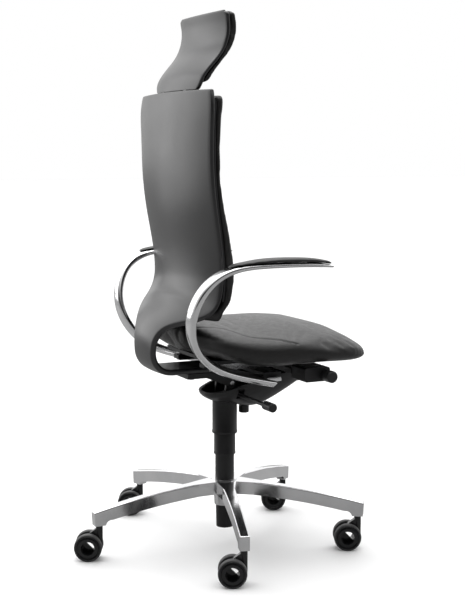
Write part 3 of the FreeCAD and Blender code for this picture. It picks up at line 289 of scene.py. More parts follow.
def aluminium_material():
    """Hand-polished casting: mirror-like, with faint polishing marks and slow waviness."""
    material, nodes, links, shader = new_material("polished_casting", (0.86, 0.86, 0.87), 0.12, 1.0)
    marks = object_noise(nodes, links, 220.0, 3.0, (1.0, 1.0, 9.0))
    waves = object_noise(nodes, links, 22.0, 2.0)
    vary_color(nodes, links, shader, waves.outputs["Fac"], (0.82, 0.82, 0.83), (0.90, 0.90, 0.905))
    vary_roughness(nodes, links, shader, marks.outputs["Fac"], 0.09, 0.17)
    heights = [(waves.outputs["Fac"], 6.0), (marks.outputs["Fac"], 0.3)]
    add_bump(nodes, links, shader, heights, 0.00008, 0.25)
    return material


def steel_material(name, color, low, high, stretch):
    """Turned or drawn steel, with marks along one direction."""
    material, nodes, links, shader = new_material(name, color, low, 1.0)
    marks = object_noise(nodes, links, 160.0, 4.0, stretch)
    darker = tuple(channel * 0.85 for channel in color)
    vary_color(nodes, links, shader, marks.outputs["Fac"], darker, color)
    vary_roughness(nodes, links, shader, marks.outputs["Fac"], low, high)
    add_bump(nodes, links, shader, [(marks.outputs["Fac"], 1.0)], 0.00003, 0.4)
    return material


def powder_material():
    """Black powder coat with a slight orange peel."""
    material, nodes, links, shader = new_material("black_powder_coat", (0.018, 0.018, 0.019), 0.42)
    peel = object_noise(nodes, links, 420.0, 2.0)
    slow = object_noise(nodes, links, 18.0, 3.0)
    vary_color(nodes, links, shader, slow.outputs["Fac"], (0.015, 0.015, 0.016), (0.023, 0.023, 0.024))
    vary_roughness(nodes, links, shader, slow.outputs["Fac"], 0.36, 0.48)
    add_bump(nodes, links, shader, [(peel.outputs["Fac"], 1.0)], 0.0001, 0.35)
    return material


def tread_material():
    material, nodes, links, shader = new_material("soft_tread", (0.075, 0.075, 0.077), 0.6)
    dust = object_noise(nodes, links, 60.0, 5.0)
    fine = object_noise(nodes, links, 1300.0, 2.0)
    vary_color(nodes, links, shader, dust.outputs["Fac"], (0.060, 0.060, 0.062), (0.095, 0.094, 0.093))
    vary_roughness(nodes, links, shader, dust.outputs["Fac"], 0.52, 0.70)
    add_bump(nodes, links, shader, [(fine.outputs["Fac"], 1.0)], 0.0001, 0.4)
    return material


def make_materials():
    return {
        "leather": leather_material(),
        "thread": thread_material(),
        "shell_plastic": shell_material(),
        "black_plastic": plastic_material("grained_plastic", (0.016, 0.016, 0.017), 0.42),
        "gloss_black_plastic": plastic_material("gloss_plastic", (0.010, 0.010, 0.011), 0.14, 0.00001, 0.6),
        "bush_plastic": plastic_material("acetal", (0.70, 0.69, 0.65), 0.38, 0.00003),
        "pad_skin": plastic_material("arm_pad_skin", (0.014, 0.014, 0.014), 0.46, 0.00016, 0.5),
        "polished_aluminium": aluminium_material(),
        "bright_steel": steel_material("ground_steel", (0.62, 0.62, 0.63), 0.18, 0.30, (1.0, 1.0, 14.0)),
        "black_steel": powder_material(),
        "tread": tread_material(),
    }


# ------------------------------------------------------------------ mesh helpers

def build(name, vertices, faces):
    """A smooth-shaded object from points in millimetres."""
    mesh = bpy.data.meshes.new(name)
    mesh.from_pydata([tuple(float(c) * MM for c in v) for v in vertices], [], faces)
    mesh.validate()
    piece = bpy.data.objects.new(name, mesh)
    bpy.context.scene.collection.objects.link(piece)
    tidy_normals(piece)
    return piece


def tidy_normals(piece):
    work = bmesh.new()
    work.from_mesh(piece.data)
    bmesh.ops.recalc_face_normals(work, faces=work.faces)
    work.to_mesh(piece.data)
    work.free()
    for face in piece.data.polygons:
        face.use_smooth = True


def finish_piece(piece, body, slot, materials, *nodes):
    """Give a piece its material, body and the CAD nodes that it stands for; the slot argument is not used.
    """
    for material in materials:
        piece.data.materials.append(material)
    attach(piece, body)
    if nodes:
        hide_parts(*nodes)
    return piece


def apply_modifiers(piece):
    graph = bpy.context.evaluated_depsgraph_get()
    result = bpy.data.meshes.new_from_object(piece.evaluated_get(graph), depsgraph=graph)
    old = piece.data
    piece.modifiers.clear()
    piece.data = result
    bpy.data.meshes.remove(old)
    for face in piece.data.polygons:
        face.use_smooth = True


def modify(piece, kind, **settings):
    modifier = piece.modifiers.new(kind.lower(), kind)
    for key, value in settings.items():
        setattr(modifier, key, value)
    apply_modifiers(piece)


def spline_rows(rows, count, place_columns):
    """Resample station rows evenly along their line, on a natural cubic spline through each value."""
    table = np.array(rows, float)
    steps = np.linalg.norm(np.diff(table[:, place_columns], axis=0), axis=1)
    knots = np.concatenate([[0.0], np.cumsum(steps)])
    n = len(knots)
    h = np.diff(knots)
    matrix = np.eye(n)
    right = np.zeros_like(table)
    for i in range(1, n - 1):
        matrix[i, i - 1:i + 2] = h[i - 1], 2 * (h[i - 1] + h[i]), h[i]
        right[i] = 6 * ((table[i + 1] - table[i]) / h[i] - (table[i] - table[i - 1]) / h[i - 1])
    bend = np.linalg.solve(matrix, right)
    result = []
    for place in np.linspace(0, knots[-1], count):
        i = min(int(np.searchsorted(knots, place, side="right")) - 1, n - 2)
        a, b = knots[i + 1] - place, place - knots[i]
        row = (bend[i] * a ** 3 + bend[i + 1] * b ** 3) / (6 * h[i])
        row += (table[i] / h[i] - bend[i] * h[i] / 6) * a
        row += (table[i + 1] / h[i] - bend[i + 1] * h[i] / 6) * b
        result.append(row)
    return result


def read_table(table, value):
    """Straight-line reading of a (place, value, ...) table at any place."""
    columns = np.array(sorted(table), float)
    return [float(np.interp(value, columns[:, 0], columns[:, k])) for k in range(1, columns.shape[1])]


def ring_quads(ring_count, size, closed=False):
    """Quads between rings of points, each ring with its size; closed joins the last ring to the first."""
    faces = []
    for k in range(ring_count if closed else ring_count - 1):
        here, there = k * size, (k + 1) % ring_count * size
        for i in range(size):
            j = (i + 1) % size
            faces.append((here + i, here + j, there + j, there + i))
    return faces


def skin(name, rings):
    """A skin through closed rings of points, whose ends close on a middle point."""
    count = len(rings[0])
    vertices = [p for ring in rings for p in ring]
    faces = ring_quads(len(rings), count)
    for start in (0, (len(rings) - 1) * count):
        middle = np.mean([vertices[start + i] for i in range(count)], axis=0)
        vertices.append(middle)
        hub = len(vertices) - 1
        faces += [(start + i, start + (i + 1) % count, hub) for i in range(count)]
    return build(name, vertices, faces)


def oval(half_width, half_height, power, count):
    """Points (across, up) round a closed oval; the power says how square it is."""
    angles = (np.arange(count) + 0.5) * 2 * np.pi / count
    across = np.sign(np.cos(angles)) * np.abs(np.cos(angles)) ** (2 / power) * half_width
    up = np.sign(np.sin(angles)) * np.abs(np.sin(angles)) ** (2 / power) * half_height
    return np.column_stack([across, up])


SLAB_CORNER_SHARE = 0.46
SLAB_CORNER_STEPS = 4
SLAB_ACROSS = 40


def slab_outline(half_width, thickness, across_count):
    """Points (across, depth) round a thin slab with rounded edges: the outer side, then the inner one."""
    radius = thickness * SLAB_CORNER_SHARE
    run = np.linspace(-(half_width - radius), half_width - radius, across_count)
    outer = [(u, 0.0) for u in run]
    turns = [math.radians(90 * k / SLAB_CORNER_STEPS) for k in range(1, SLAB_CORNER_STEPS + 1)]
    straight = half_width - radius
    low_corner = [(straight + radius * math.sin(t), radius - radius * math.cos(t)) for t in turns]
    high_corner = [(straight + radius * math.cos(t), thickness - radius + radius * math.sin(t))
                   for t in turns]
    inner = [(u, thickness) for u in run[::-1][1:-1]]
    left_high = [(-u, v) for u, v in reversed(high_corner)]
    left_low = [(-u, v) for u, v in reversed(low_corner)]
    return np.array(outer + low_corner + high_corner + inner + left_high + left_low)


def turned(profile, centre, axis, segments=64, ridges=0, ridge_depth=0.0, ridge_range=None):
    """Rings of a turned piece: (distance along the axis, radius) pairs, with grip ridges if asked."""
    axis = Vector(axis).normalized()
    side = axis.orthogonal().normalized()
    other = axis.cross(side)
    rings = []
    for along, radius in profile:
        ring = []
        for k in range(segments):
            angle = 2 * math.pi * k / segments
            r = radius
            if ridges and ridge_range[0] <= along <= ridge_range[1]:
                r = radius - ridge_depth * (0.5 + 0.5 * math.cos(ridges * angle)) ** 3
            point = Vector(centre) + axis * along
            point += side * (r * math.cos(angle)) + other * (r * math.sin(angle))
            ring.append(tuple(point))
        rings.append(ring)
    return rings


def turned_piece(name, profile, centre, axis, **settings):
    return skin(name, turned(profile, centre, axis, **settings))


def closed_turned(name, profile, centre, axis, segments):
    """A ring: the profile is a closed loop about the axis."""
    rings = turned(profile, centre, axis, segments=segments)
    vertices = [p for ring in rings for p in ring]
    return build(name, vertices, ring_quads(len(rings), segments, closed=True))


def sharpen(piece, degrees):
    """Shade sharply where two faces meet at more than the angle."""
    piece.data.set_sharp_from_angle(angle=math.radians(degrees))


def rounded_profile(points, radius, steps=3):
    """Round each inner corner of an open (along, radius) profile."""
    result = [points[0]]
    for before, corner, after in zip(points, points[1:], points[2:]):
        a = Vector((before[0] - corner[0], before[1] - corner[1]))
        b = Vector((after[0] - corner[0], after[1] - corner[1]))
        reach = min(radius, a.length * 0.45, b.length * 0.45)
        start = Vector(corner) + a.normalized() * reach
        end = Vector(corner) + b.normalized() * reach
        for k in range(steps + 1):
            t = k / steps
            p = start * (1 - t) ** 2 + Vector(corner) * (2 * t * (1 - t)) + end * t ** 2
            result.append((p.x, p.y))
    result.append(points[-1])
    return result


# ------------------------------------------------------------------ soft goods

CLOTH_FRAMES = 20


def swell(piece, voxel, most, held, pressure=4.0):
    """Fill a closed cover as foam does: a cloth under pressure, held where it rests or is sewn down."""
    modify(piece, "REMESH", mode="VOXEL", voxel_size=voxel, use_smooth_shade=True)
    modify(piece, "SMOOTH", factor=0.5, iterations=5)
    start = np.array([v.co for v in piece.data.vertices])
    group = piece.vertex_groups.new(name="held")
    for vertex in piece.data.vertices:
        weight = held(vertex.co / MM)
        if weight > 0:
            group.add([vertex.index], weight, "REPLACE")
    cloth = piece.modifiers.new("cloth", "CLOTH")
    settings = cloth.settings
    settings.quality = 5
    settings.use_pressure = True
    settings.uniform_pressure_force = pressure
    settings.effector_weights.gravity = 0.0
    settings.vertex_group_mass = "held"
    settings.tension_stiffness = 25
    settings.compression_stiffness = 15
    settings.bending_stiffness = 1.5
    cloth.point_cache.frame_start, cloth.point_cache.frame_end = 1, CLOTH_FRAMES
    scene = bpy.context.scene
    for number in range(1, CLOTH_FRAMES + 1):
        scene.frame_set(number)
    apply_modifiers(piece)
    piece.vertex_groups.clear()
    moved = np.array([v.co for v in piece.data.vertices]) - start
    length = np.linalg.norm(moved, axis=1, keepdims=True)
    capped = moved * np.minimum(1.0, most * MM / np.maximum(length, 1e-9))
    piece.data.vertices.foreach_set("co", (start + capped).ravel())
    scene.frame_set(1)
    modify(piece, "SMOOTH", factor=0.4, iterations=2)
    modify(piece, "SUBSURF", levels=1, render_levels=1)


def surface_tree(piece):
    return BVHTree.FromPolygons([v.co for v in piece.data.vertices],
                                [tuple(p.vertices) for p in piece.data.polygons])


def sink_seam(piece, line, depth, width):
    """Press a sewn line into a cover: line is points in metres already on the surface."""
    line = np.array(line)
    vertices = piece.data.vertices
    places = np.array([v.co for v in vertices])
    normals = np.array([v.normal for v in vertices])
    nearest = np.full(len(places), 1e9)
    for a, b in zip(line, line[1:]):
        d = b - a
        t = np.clip((places - a) @ d / max(d @ d, 1e-12), 0, 1)
        nearest = np.minimum(nearest, np.linalg.norm(places - (a + t[:, None] * d), axis=1))
    fall = np.exp(-(nearest / (width * MM)) ** 2)
    places -= normals * (fall * depth * MM)[:, None]
    vertices.foreach_set("co", places.ravel())
    piece.data.update()


def follow(tree, guide, direction):
    """Drop each guide point (millimetres) on to the cover along a direction."""
    line = []
    way = Vector(direction).normalized()
    for p in guide:
        start = Vector(p) * MM - way * 0.15
        hit = tree.ray_cast(start, way)
        if hit[0] is not None:
            line.append((hit[0], hit[1]))
    return line


STITCH_SPACING = 4.6
STITCH_LENGTH = 3.2
STITCH_RADIUS = 0.45
STITCH_OFFSET = 3.4
STITCH_SIDES = 8
# A stitch's rings: how far along it, in lengths, and how thick there, in radii.
STITCH_RINGS = [(-0.5, 0.35), (-0.38, 0.9), (0.0, 1.0), (0.38, 0.9), (0.5, 0.35)]


def stitches(name, line, offset):
    """A row of thread stitches beside a seam, each a small capsule."""
    vertices, faces = [], []
    travelled = 0.0
    next_at = STITCH_SPACING
    for (a, normal_a), (b, normal_b) in zip(line, line[1:]):
        step = (b - a).length / MM
        if step < 1e-6:
            continue
        along = (b - a).normalized()
        while travelled + step >= next_at:
            share = (next_at - travelled) / step
            normal = normal_a.lerp(normal_b, share).normalized()
            side = along.cross(normal).normalized()
            centre = (a.lerp(b, share) / MM) + side * offset + normal * STITCH_RADIUS * 0.35
            base = len(vertices)
            for reach, size in STITCH_RINGS:
                for k in range(STITCH_SIDES):
                    angle = 2 * math.pi * k / STITCH_SIDES
                    lift = normal * (math.sin(angle) * STITCH_RADIUS * size)
                    shift = side * (math.cos(angle) * STITCH_RADIUS * size)
                    vertices.append(centre + along * (reach * STITCH_LENGTH) + shift + lift)
            quads = ring_quads(len(STITCH_RINGS), STITCH_SIDES)
            faces += [tuple(base + k for k in quad) for quad in quads]
            last = base + (len(STITCH_RINGS) - 1) * STITCH_SIDES
            faces.append(tuple(base + k for k in range(STITCH_SIDES)))
            faces.append(tuple(last + k for k in range(STITCH_SIDES)))
            next_at += STITCH_SPACING
        travelled += step
    return build(name, vertices, faces)


SEAT_STATIONS = [
    (-284, 150, 466, 492), (-272, 205, 459, 508), (-238, 236, 455, 525), (-180, 246, 455, 537),
    (-120, 246, 455, 544), (-60, 243, 453, 547), (0, 233, 454, 546), (50, 216, 466, 549),
    (98, 190, 484, 553), (134, 148, 496, 552), (150, 104, 506, 544),
]
SEAT_SHRINK = 5.0
SEAT_RESTS_BELOW = 478.0
SHOULDER_POWER = 2.7
# The side panel's seam from the rear of the seat forward, out to the shoulder: x, y.
SEAT_SEAM = [(98, 118), (117, 62), (147, 44), (174, 31), (190, 5), (201, -24), (218, -52), (230, -74)]


def seat_seam_guide():
    """The seam between the seat's top and its side panel, smoothed, at a height under the top."""
    rows = spline_rows([(x, y, 500) for x, y in SEAT_SEAM], 44, [0, 1])
    return [(-x, y, z) for x, y, z in rows]


def make_seat_pad(materials):
    rings = []
    for y, half_width, low, high in spline_rows(SEAT_STATIONS, 44, [0, 1]):
        section = oval(half_width - SEAT_SHRINK, (high - low) / 2 - SEAT_SHRINK * 0.6, 4.0, 72)
        rounder = oval(half_width - SEAT_SHRINK, (high - low) / 2 - SEAT_SHRINK * 0.6, SHOULDER_POWER, 72)
        section = np.where(section[:, 1:] > 0, rounder, section)
        crown = 5.0 * np.clip(1 - (section[:, 0] / half_width) ** 2, 0, 1) * (section[:, 1] > 0)
        middle = (high + low) / 2
        rings.append([(u, y, middle + v + c - 3.0 * (v > 0)) for (u, v), c in zip(section, crown)])
    pad = skin("seat_pad", rings)
    seam = seat_seam_guide()
    seam_xy = np.array([(x, y) for x, y, _ in seam])

    def held(place):
        if place.z < SEAT_RESTS_BELOW:
            return 1.0
        if place.z > 515:
            near = np.min(np.hypot(seam_xy[:, 0] + abs(place.x), seam_xy[:, 1] - place.y))
            return 0.9 if near < 5 else 0.0
        return 0.0

    swell(pad, 0.005, 9.0, held)
    tree = surface_tree(pad)
    for side in SIDES.values():
        line = follow(tree, [(-side * x, y, z + 100) for x, y, z in seam], (0, 0, -1))
        sink_seam(pad, [p for p, _ in line], 2.4, 2.6)
    tree = surface_tree(pad)
    finish_piece(pad, "seat", "leather", [materials["leather"]], "seat_cushion")
    for label, side in SIDES.items():
        line = follow(tree, [(-side * x, y, z + 100) for x, y, z in seam], (0, 0, -1))
        row = stitches("seat_stitches_" + label, line, STITCH_OFFSET)
        finish_piece(row, "seat", "leather", [materials["thread"]])


# The back shell's edge line, from the top down to the strap: half width, y, z and how far it bows.
BACK_STATIONS = [
    (200, 128, 1085, 18), (207, 130, 1060, 19), (207, 131, 1000, 20), (204, 129, 900, 21),
    (203, 121, 820, 22), (199, 108, 740, 24), (195, 102, 680, 27), (194, 104, 640, 30),
    (196, 114, 610, 36), (191, 130, 590, 38), (164, 152, 576, 30), (118, 178, 563, 18),
    (84, 197, 547, 9), (66, 208, 526, 5), (57, 213, 500, 2.5),
]
PAD_FRONT = [
    (560, 84), (586, 82), (620, 64), (660, 56), (700, 58), (740, 66), (780, 75), (820, 85), (860, 92),
    (900, 97), (960, 99), (1020, 95), (1060, 90), (1090, 86),
]
LUMBAR_ROOM = [(560, 14), (586, 9), (620, 5), (660, 1), (700, 0), (1090, 0)]
SHELL_FACE = [(row[2], row[0], row[1], row[1] + row[3]) for row in BACK_STATIONS[:10]]
PAD_TAPER = [(560, 16), (576, 8), (590, 3), (606, 0), (1090, 0)]
BACK_PAD_LOW = 564.0
BACK_PAD_HIGH = 1076.0
BACK_PAD_OFFSET = 14.6
BACK_SHRINK = 4.0
BACK_SEAM_INSET = 34.0
BACK_CROSS_SEAMS = (668.0, 760.0)


def back_pad_shape(z):
    """Half width, rear edge, rear middle, front edge and front middle of the back pad at a height."""
    half_width, edge_y, centre_y = read_table(SHELL_FACE, z)
    front = read_table(PAD_FRONT, z)[0]
    rear = edge_y - BACK_PAD_OFFSET - read_table(LUMBAR_ROOM, z)[0]
    bow = centre_y - edge_y
    return half_width - 2 - read_table(PAD_TAPER, z)[0], rear, rear + bow, front, front + bow * 0.3


def make_back_pad(materials):
    rings = []
    for z in np.linspace(BACK_PAD_LOW + 4, BACK_PAD_HIGH - 4, 70):
        half_width, rear, rear_middle, front, front_middle = back_pad_shape(z)
        end = min(z - BACK_PAD_LOW, BACK_PAD_HIGH - z)
        trim = 10.0 * (1 - math.sqrt(max(0.0, 1 - (1 - min(end / 14.0, 1.0)) ** 2)))
        section = oval(1.0, 1.0, 6.0, 96)
        ring = []
        width = half_width - BACK_SHRINK * 0.5 - trim
        for u, v in section:
            bow = 1 - u ** 2
            back_y = rear + (rear_middle - rear) * bow - trim * 0.2
            front_y = front + (front_middle - front) * bow + BACK_SHRINK + trim
            share = (v + 1) / 2
            ring.append((u * width, front_y + (back_y - front_y) * share, z))
        rings.append(ring)
    pad = skin("back_pad", rings)

    def seam_guide(side):
        points = []
        for z in np.linspace(BACK_PAD_HIGH - 2, BACK_PAD_LOW + 4, 90):
            half_width = back_pad_shape(z)[0]
            points.append((side * (half_width - BACK_SEAM_INSET), 0, z))
        return points

    def held(place):
        half_width, rear, rear_middle, front, front_middle = back_pad_shape(place.z)
        bow = 1 - min((place.x / half_width) ** 2, 1.0)
        rear_y = rear + (rear_middle - rear) * bow
        front_y = front + (front_middle - front) * bow
        if place.y > rear_y - 6:
            return 1.0
        if place.y < front_y + 16:
            if abs(abs(place.x) - (half_width - BACK_SEAM_INSET)) < 3.5:
                return 0.9
            if abs(place.x) < half_width - BACK_SEAM_INSET:
                if min(abs(place.z - level) for level in BACK_CROSS_SEAMS) < 3.5:
                    return 0.9
        return 0.0

    swell(pad, 0.005, 9.0, held)
    tree = surface_tree(pad)
    guides = [seam_guide(side) for side in SIDES.values()]
    for level in BACK_CROSS_SEAMS:
        reach = back_pad_shape(level)[0] - BACK_SEAM_INSET
        guides.append([(x, 0, level) for x in np.linspace(-reach, reach, 60)])
    for guide in guides:
        line = follow(tree, guide, (0, 1, 0))
        sink_seam(pad, [p for p, _ in line], 2.2, 2.6)
    tree = surface_tree(pad)
    finish_piece(pad, "back", "leather", [materials["leather"]], "back_cushion")
    for (label, side), guide in zip(SIDES.items(), guides):
        line = follow(tree, guide, (0, 1, 0))
        row = stitches("back_stitches_" + label, line, STITCH_OFFSET * side)
        finish_piece(row, "back", "leather", [materials["thread"]])


# z, the shell's rear y, half width, and the pad's front y.
HEADREST_STATIONS = [
    (1086, 133, 115, 124), (1104, 131, 127, 117), (1120, 126, 128, 98), (1140, 113, 129, 80),
    (1160, 96, 130, 64), (1180, 80, 130, 51), (1200, 70, 130, 41), (1222, 65, 130, 36),
    (1245, 66, 130, 37), (1257, 68, 128, 40), (1264, 69, 118, 44),
]
HEADREST_SHELL = 8.0
HEADREST_BOW = 10.0
HEADREST_HALF = 127.0
HEADREST_PAD_LOW = 1102.0
HEADREST_TOP = HEADREST_STATIONS[-1][0]


def headrest_rows(count):
    """Rows with each place's upward direction and its forward direction."""
    rows = spline_rows(HEADREST_STATIONS, count, [0, 1])
    for index, (z, y, half_width, front) in enumerate(rows):
        before, after = rows[max(index - 1, 0)], rows[min(index + 1, count - 1)]
        along = Vector((0, after[1] - before[1], after[0] - before[0])).normalized()
        inward = Vector((0, -along.z, along.y))
        yield z, y, half_width, front, along, inward


def make_headrest_pad(materials):
    rings = []
    for z, y, half_width, front, along, inward in headrest_rows(60):
        if z < HEADREST_PAD_LOW + 2:
            continue
        thickness = (y - front) * along.z - HEADREST_SHELL - 0.8
        end = min(z - HEADREST_PAD_LOW, HEADREST_TOP - z)
        trim = 6.0 * (1 - math.sqrt(max(0.0, 1 - (1 - min(max(end, 0) / 10.0, 1.0)) ** 2)))
        bow = HEADREST_BOW * (half_width / HEADREST_HALF) ** 2
        ring = []
        for u, v in oval(1.0, 1.0, 5.0, 80):
            depth = HEADREST_SHELL + 0.8 + (thickness - 2.0 - trim) * (1 - (v + 1) / 2) + bow * u * u
            ring.append(Vector((0, y, z)) + inward * depth + Vector((u * (half_width - 3 - trim), 0, 0)))
        rings.append(ring)
    pad = skin("headrest_pad", rings)

    def rear_y(z):
        return read_table([(row[0], row[1]) for row in HEADREST_STATIONS], z)[0]

    def held(place):
        return 1.0 if place.y > rear_y(place.z) - 16 else 0.0

    swell(pad, 0.004, 6.0, held)
    finish_piece(pad, "headrest", "leather", [materials["leather"]], "headrest_cushion")


# ------------------------------------------------------------------ shells

STRAP_TURN = 53.0
STRAP_LOW = 430.0
STRAP_BOW = 1.5
STRAP_HALF = 55.0
STRAP_THICKNESS = 14.0
STRAP_END_Y = 30.0
SHELL_THICKNESS = 9.0
SHELL_WAIST = 190.0


def shell_rows():
    """Rows down the back and round the strap: half width, edge y, edge z, bow."""
    rows = list(BACK_STATIONS)
    turn_y = BACK_STATIONS[-1][1] - STRAP_TURN
    turn_z = STRAP_LOW + STRAP_BOW + STRAP_TURN
    for degrees in (20, 45, 70, 90):
        angle = math.radians(degrees)
        y = turn_y + STRAP_TURN * math.cos(angle)
        z = turn_z - STRAP_TURN * math.sin(angle)
        rows.append((STRAP_HALF, y, z, STRAP_BOW))
    rows = [tuple(row) for row in spline_rows(rows, 90, [1, 2])]
    for y in np.linspace(turn_y, STRAP_END_Y, 8)[1:]:
        rows.append((STRAP_HALF, float(y), STRAP_LOW + STRAP_BOW, STRAP_BOW))
    return rows


def bent_ring(outline, place, half_width, bow, inward):
    """Wrap a slab outline round the bow at a place on the edge line."""
    ring = []
    for u, v in outline:
        share = min(abs(u) / half_width, 1.0)
        depth = v - bow * (1 - share * share)
        ring.append(tuple(place + inward * depth + Vector((u, 0, 0))))
    return ring


def shell_rings(rows):
    """Rows are half width, place, along, inward, bow and thickness; both ends are rounded off."""
    rings = []
    last = len(rows) - 1
    for index, (half_width, place, along, inward, bow, thickness) in enumerate(rows):
        if index in (0, last):
            outward = -along if index == 0 else along
            radius = thickness * SLAB_CORNER_SHARE
            end_rings = []
            for degrees in (80, 60, 40, 20, 0):
                angle = math.radians(degrees)
                loss = radius * (1 - math.cos(angle))
                outline = slab_outline(half_width - loss, thickness - 2 * loss, SLAB_ACROSS)
                shifted = place + outward * (radius * (math.sin(angle) - 1)) + inward * loss
                end_rings.append(bent_ring(outline, shifted, half_width, bow, inward))
            rings += end_rings if index == 0 else reversed(end_rings)
        else:
            outline = slab_outline(half_width, thickness, SLAB_ACROSS)
            rings.append(bent_ring(outline, place, half_width, bow, inward))
    return rings


def skin_slab(name, rings):
    """Skin through slab rings, with flat quads across both rounded ends."""
    count = len(rings[0])
    vertices = [p for ring in rings for p in ring]
    faces = ring_quads(len(rings), count)
    faces.append(tuple(range(count)))
    faces.append(tuple(range((len(rings) - 1) * count, len(rings) * count)))
    return build(name, vertices, faces)


def make_back_shell(materials):
    rows = shell_rows()
    full = []
    for index, (half_width, y, z, bow) in enumerate(rows):
        before, after = rows[max(index - 1, 0)], rows[min(index + 1, len(rows) - 1)]
        along = Vector((0, after[1] - before[1], after[2] - before[2])).normalized()
        inward = Vector((0, along.z, -along.y))
        share = min(max((SHELL_WAIST - half_width) / (SHELL_WAIST - STRAP_HALF), 0), 1)
        thickness = SHELL_THICKNESS + (STRAP_THICKNESS - SHELL_THICKNESS) * share
        full.append((half_width, Vector((0, y, z)), along, inward, bow, thickness))
    shell = skin_slab("back_shell_moulding", shell_rings(full))
    finish_piece(shell, "back", "shell_plastic", [materials["shell_plastic"]], "back_shell")


TONGUE_HALF = 70.0
TONGUE_THICKNESS = 6.5
TONGUE_REAR_Y = 130.5
TONGUE_LOW = 990.0
TONGUE_HIGH = 1092.0
TONGUE_CORNER = 6.0


def make_headrest_shell(materials):
    full = []
    for z, y, half_width, front, along, inward in headrest_rows(46):
        bow = HEADREST_BOW * (half_width / HEADREST_HALF) ** 2
        place = Vector((0, y, z)) + inward * bow
        full.append((half_width, place, along, inward, bow, HEADREST_SHELL))
    shell = skin_slab("headrest_shell_moulding", shell_rings(full))
    finish_piece(shell, "headrest", "shell_plastic", [materials["shell_plastic"]], "headrest_shell")
    slab = slab_outline(TONGUE_HALF, TONGUE_THICKNESS, 12)
    rings = []
    for z in np.linspace(TONGUE_LOW, TONGUE_HIGH, 12):
        share = 1 - min((z - TONGUE_LOW) / TONGUE_CORNER, 1.0)
        corner = TONGUE_CORNER * (1 - math.sqrt(max(0.0, 1 - share ** 2)))
        scale = (TONGUE_HALF - corner) / TONGUE_HALF
        rings.append([(u * scale, TONGUE_REAR_Y - v, z) for u, v in slab])
    tongue = skin_slab("headrest_tongue", rings)
    finish_piece(tongue, "headrest", "shell_plastic", [materials["shell_plastic"]])


# ------------------------------------------------------------------ arms

# The arm's middle line from its lower end, round the loop to the pad: y, z, thickness.
ARM_STATIONS = [
    (-66, 416, 18), (-30, 424, 18), (0, 431, 18), (50, 444, 17), (92, 458, 17), (128, 477, 17),
    (156, 502, 17), (175, 531, 17), (185, 562, 17), (186, 592, 17), (181, 617, 17), (171, 641, 17),
    (154, 664, 17), (130, 682, 17), (97, 694, 15), (55, 699, 13), (0, 700, 12), (-70, 699, 11),
    (-120, 696, 9), (-138, 694, 7),
]
ARM_LEAN = 0.33
ARM_HALF = 19.0
ARM_CUT_ROWS = 30
ARM_CUT_Y = -24.0
ARM_CUT_Z = 400.0
# The arm pad from its rear end: y, half width, top z.
ARM_PAD_STATIONS = [
    (114, 9, 703), (104, 15, 706), (80, 20, 710), (40, 24, 715), (-20, 25, 717), (-75, 24, 715),
    (-115, 21, 710), (-134, 16, 705), (-140, 9, 702),
]


def arm_x(z):
    return -(201 + ARM_LEAN * (z - 515))


def make_arm(materials, label, side):
    rows = spline_rows(ARM_STATIONS, 110, [0, 1])
    rings = []
    for index, (y, z, thickness) in enumerate(rows):
        before, after = rows[max(index - 1, 0)], rows[min(index + 1, len(rows) - 1)]
        outward_run = arm_x(after[1]) - arm_x(before[1])
        along = Vector((outward_run, after[0] - before[0], after[1] - before[1])).normalized()
        level = min(max((z - 600) / 90, 0), 1)
        across = Vector((1, 0, ARM_LEAN * (1 - level)))
        across = (across - along * across.dot(along)).normalized()
        outward = along.cross(across)
        ring = []
        for u, v in oval(ARM_HALF, thickness / 2, 2.9, 40):
            p = Vector((arm_x(z), y, z)) + across * u + outward * v
            if index < ARM_CUT_ROWS:
                # the lower end is cut on a slant: nothing lies forward of the cutting line
                limit = ARM_CUT_Y - (p.z - ARM_CUT_Z)
                if p.y < limit:
                    p = p + along * ((limit - p.y) / max(along.y + along.z, 0.2))
            ring.append((-side * p.x, p.y, p.z))
        rings.append(ring)
    band = skin("arm_band_" + label, rings)
    sharpen(band, 42)
    metal = [materials["polished_aluminium"]]
    finish_piece(band, "tilt_frame", "polished_aluminium", metal, "arm_" + label)
    foot = bevelled_box("arm_foot_" + label, (118, -58, 424), (184, -22, 434), 1.5, side)
    finish_piece(foot, "tilt_frame", "polished_aluminium", metal)


def bevelled_box(name, low, high, bevel, side):
    corners = [(x, y, z) for z in (low[2], high[2]) for x, y in
               ((low[0], low[1]), (high[0], low[1]), (high[0], high[1]), (low[0], high[1]))]
    corners = [(x * side, y, z) for x, y, z in corners]
    faces = [(0, 3, 2, 1), (4, 5, 6, 7), (0, 1, 5, 4), (1, 2, 6, 5), (2, 3, 7, 6), (3, 0, 4, 7)]
    piece = build(name, corners, faces)
    modify(piece, "BEVEL", width=bevel * MM, segments=3, limit_method="ANGLE")
    sharpen(piece, 42)
    return piece


def make_arm_pad(materials, label, side):
    arm_line = [(row[0], row[1], row[2]) for row in ARM_STATIONS[-7:]]
    middle_x = arm_x(700)
    rings = []
    for y, half_width, high in spline_rows(ARM_PAD_STATIONS, 40, [0, 1]):
        centre_z, thickness = read_table(arm_line, y)
        low = min(centre_z + thickness / 2 + 0.4, high - 3)
        section = oval(half_width - 1.0, (high - low) / 2 - 0.3, 2.6, 48)
        rings.append([(-side * (middle_x + u), y, (high + low) / 2 + v) for u, v in section])
    pad = skin("arm_rest_" + label, rings)

    def held(place):
        centre_z, thickness = read_table(arm_line, place.y)
        return 1.0 if place.z < centre_z + thickness / 2 + 3 else 0.0

    swell(pad, 0.003, 2.0, held, pressure=2.0)
    finish_piece(pad, "tilt_frame", "leather", [materials["pad_skin"]], "arm_pad_" + label)


# ------------------------------------------------------------------ base, casters and column

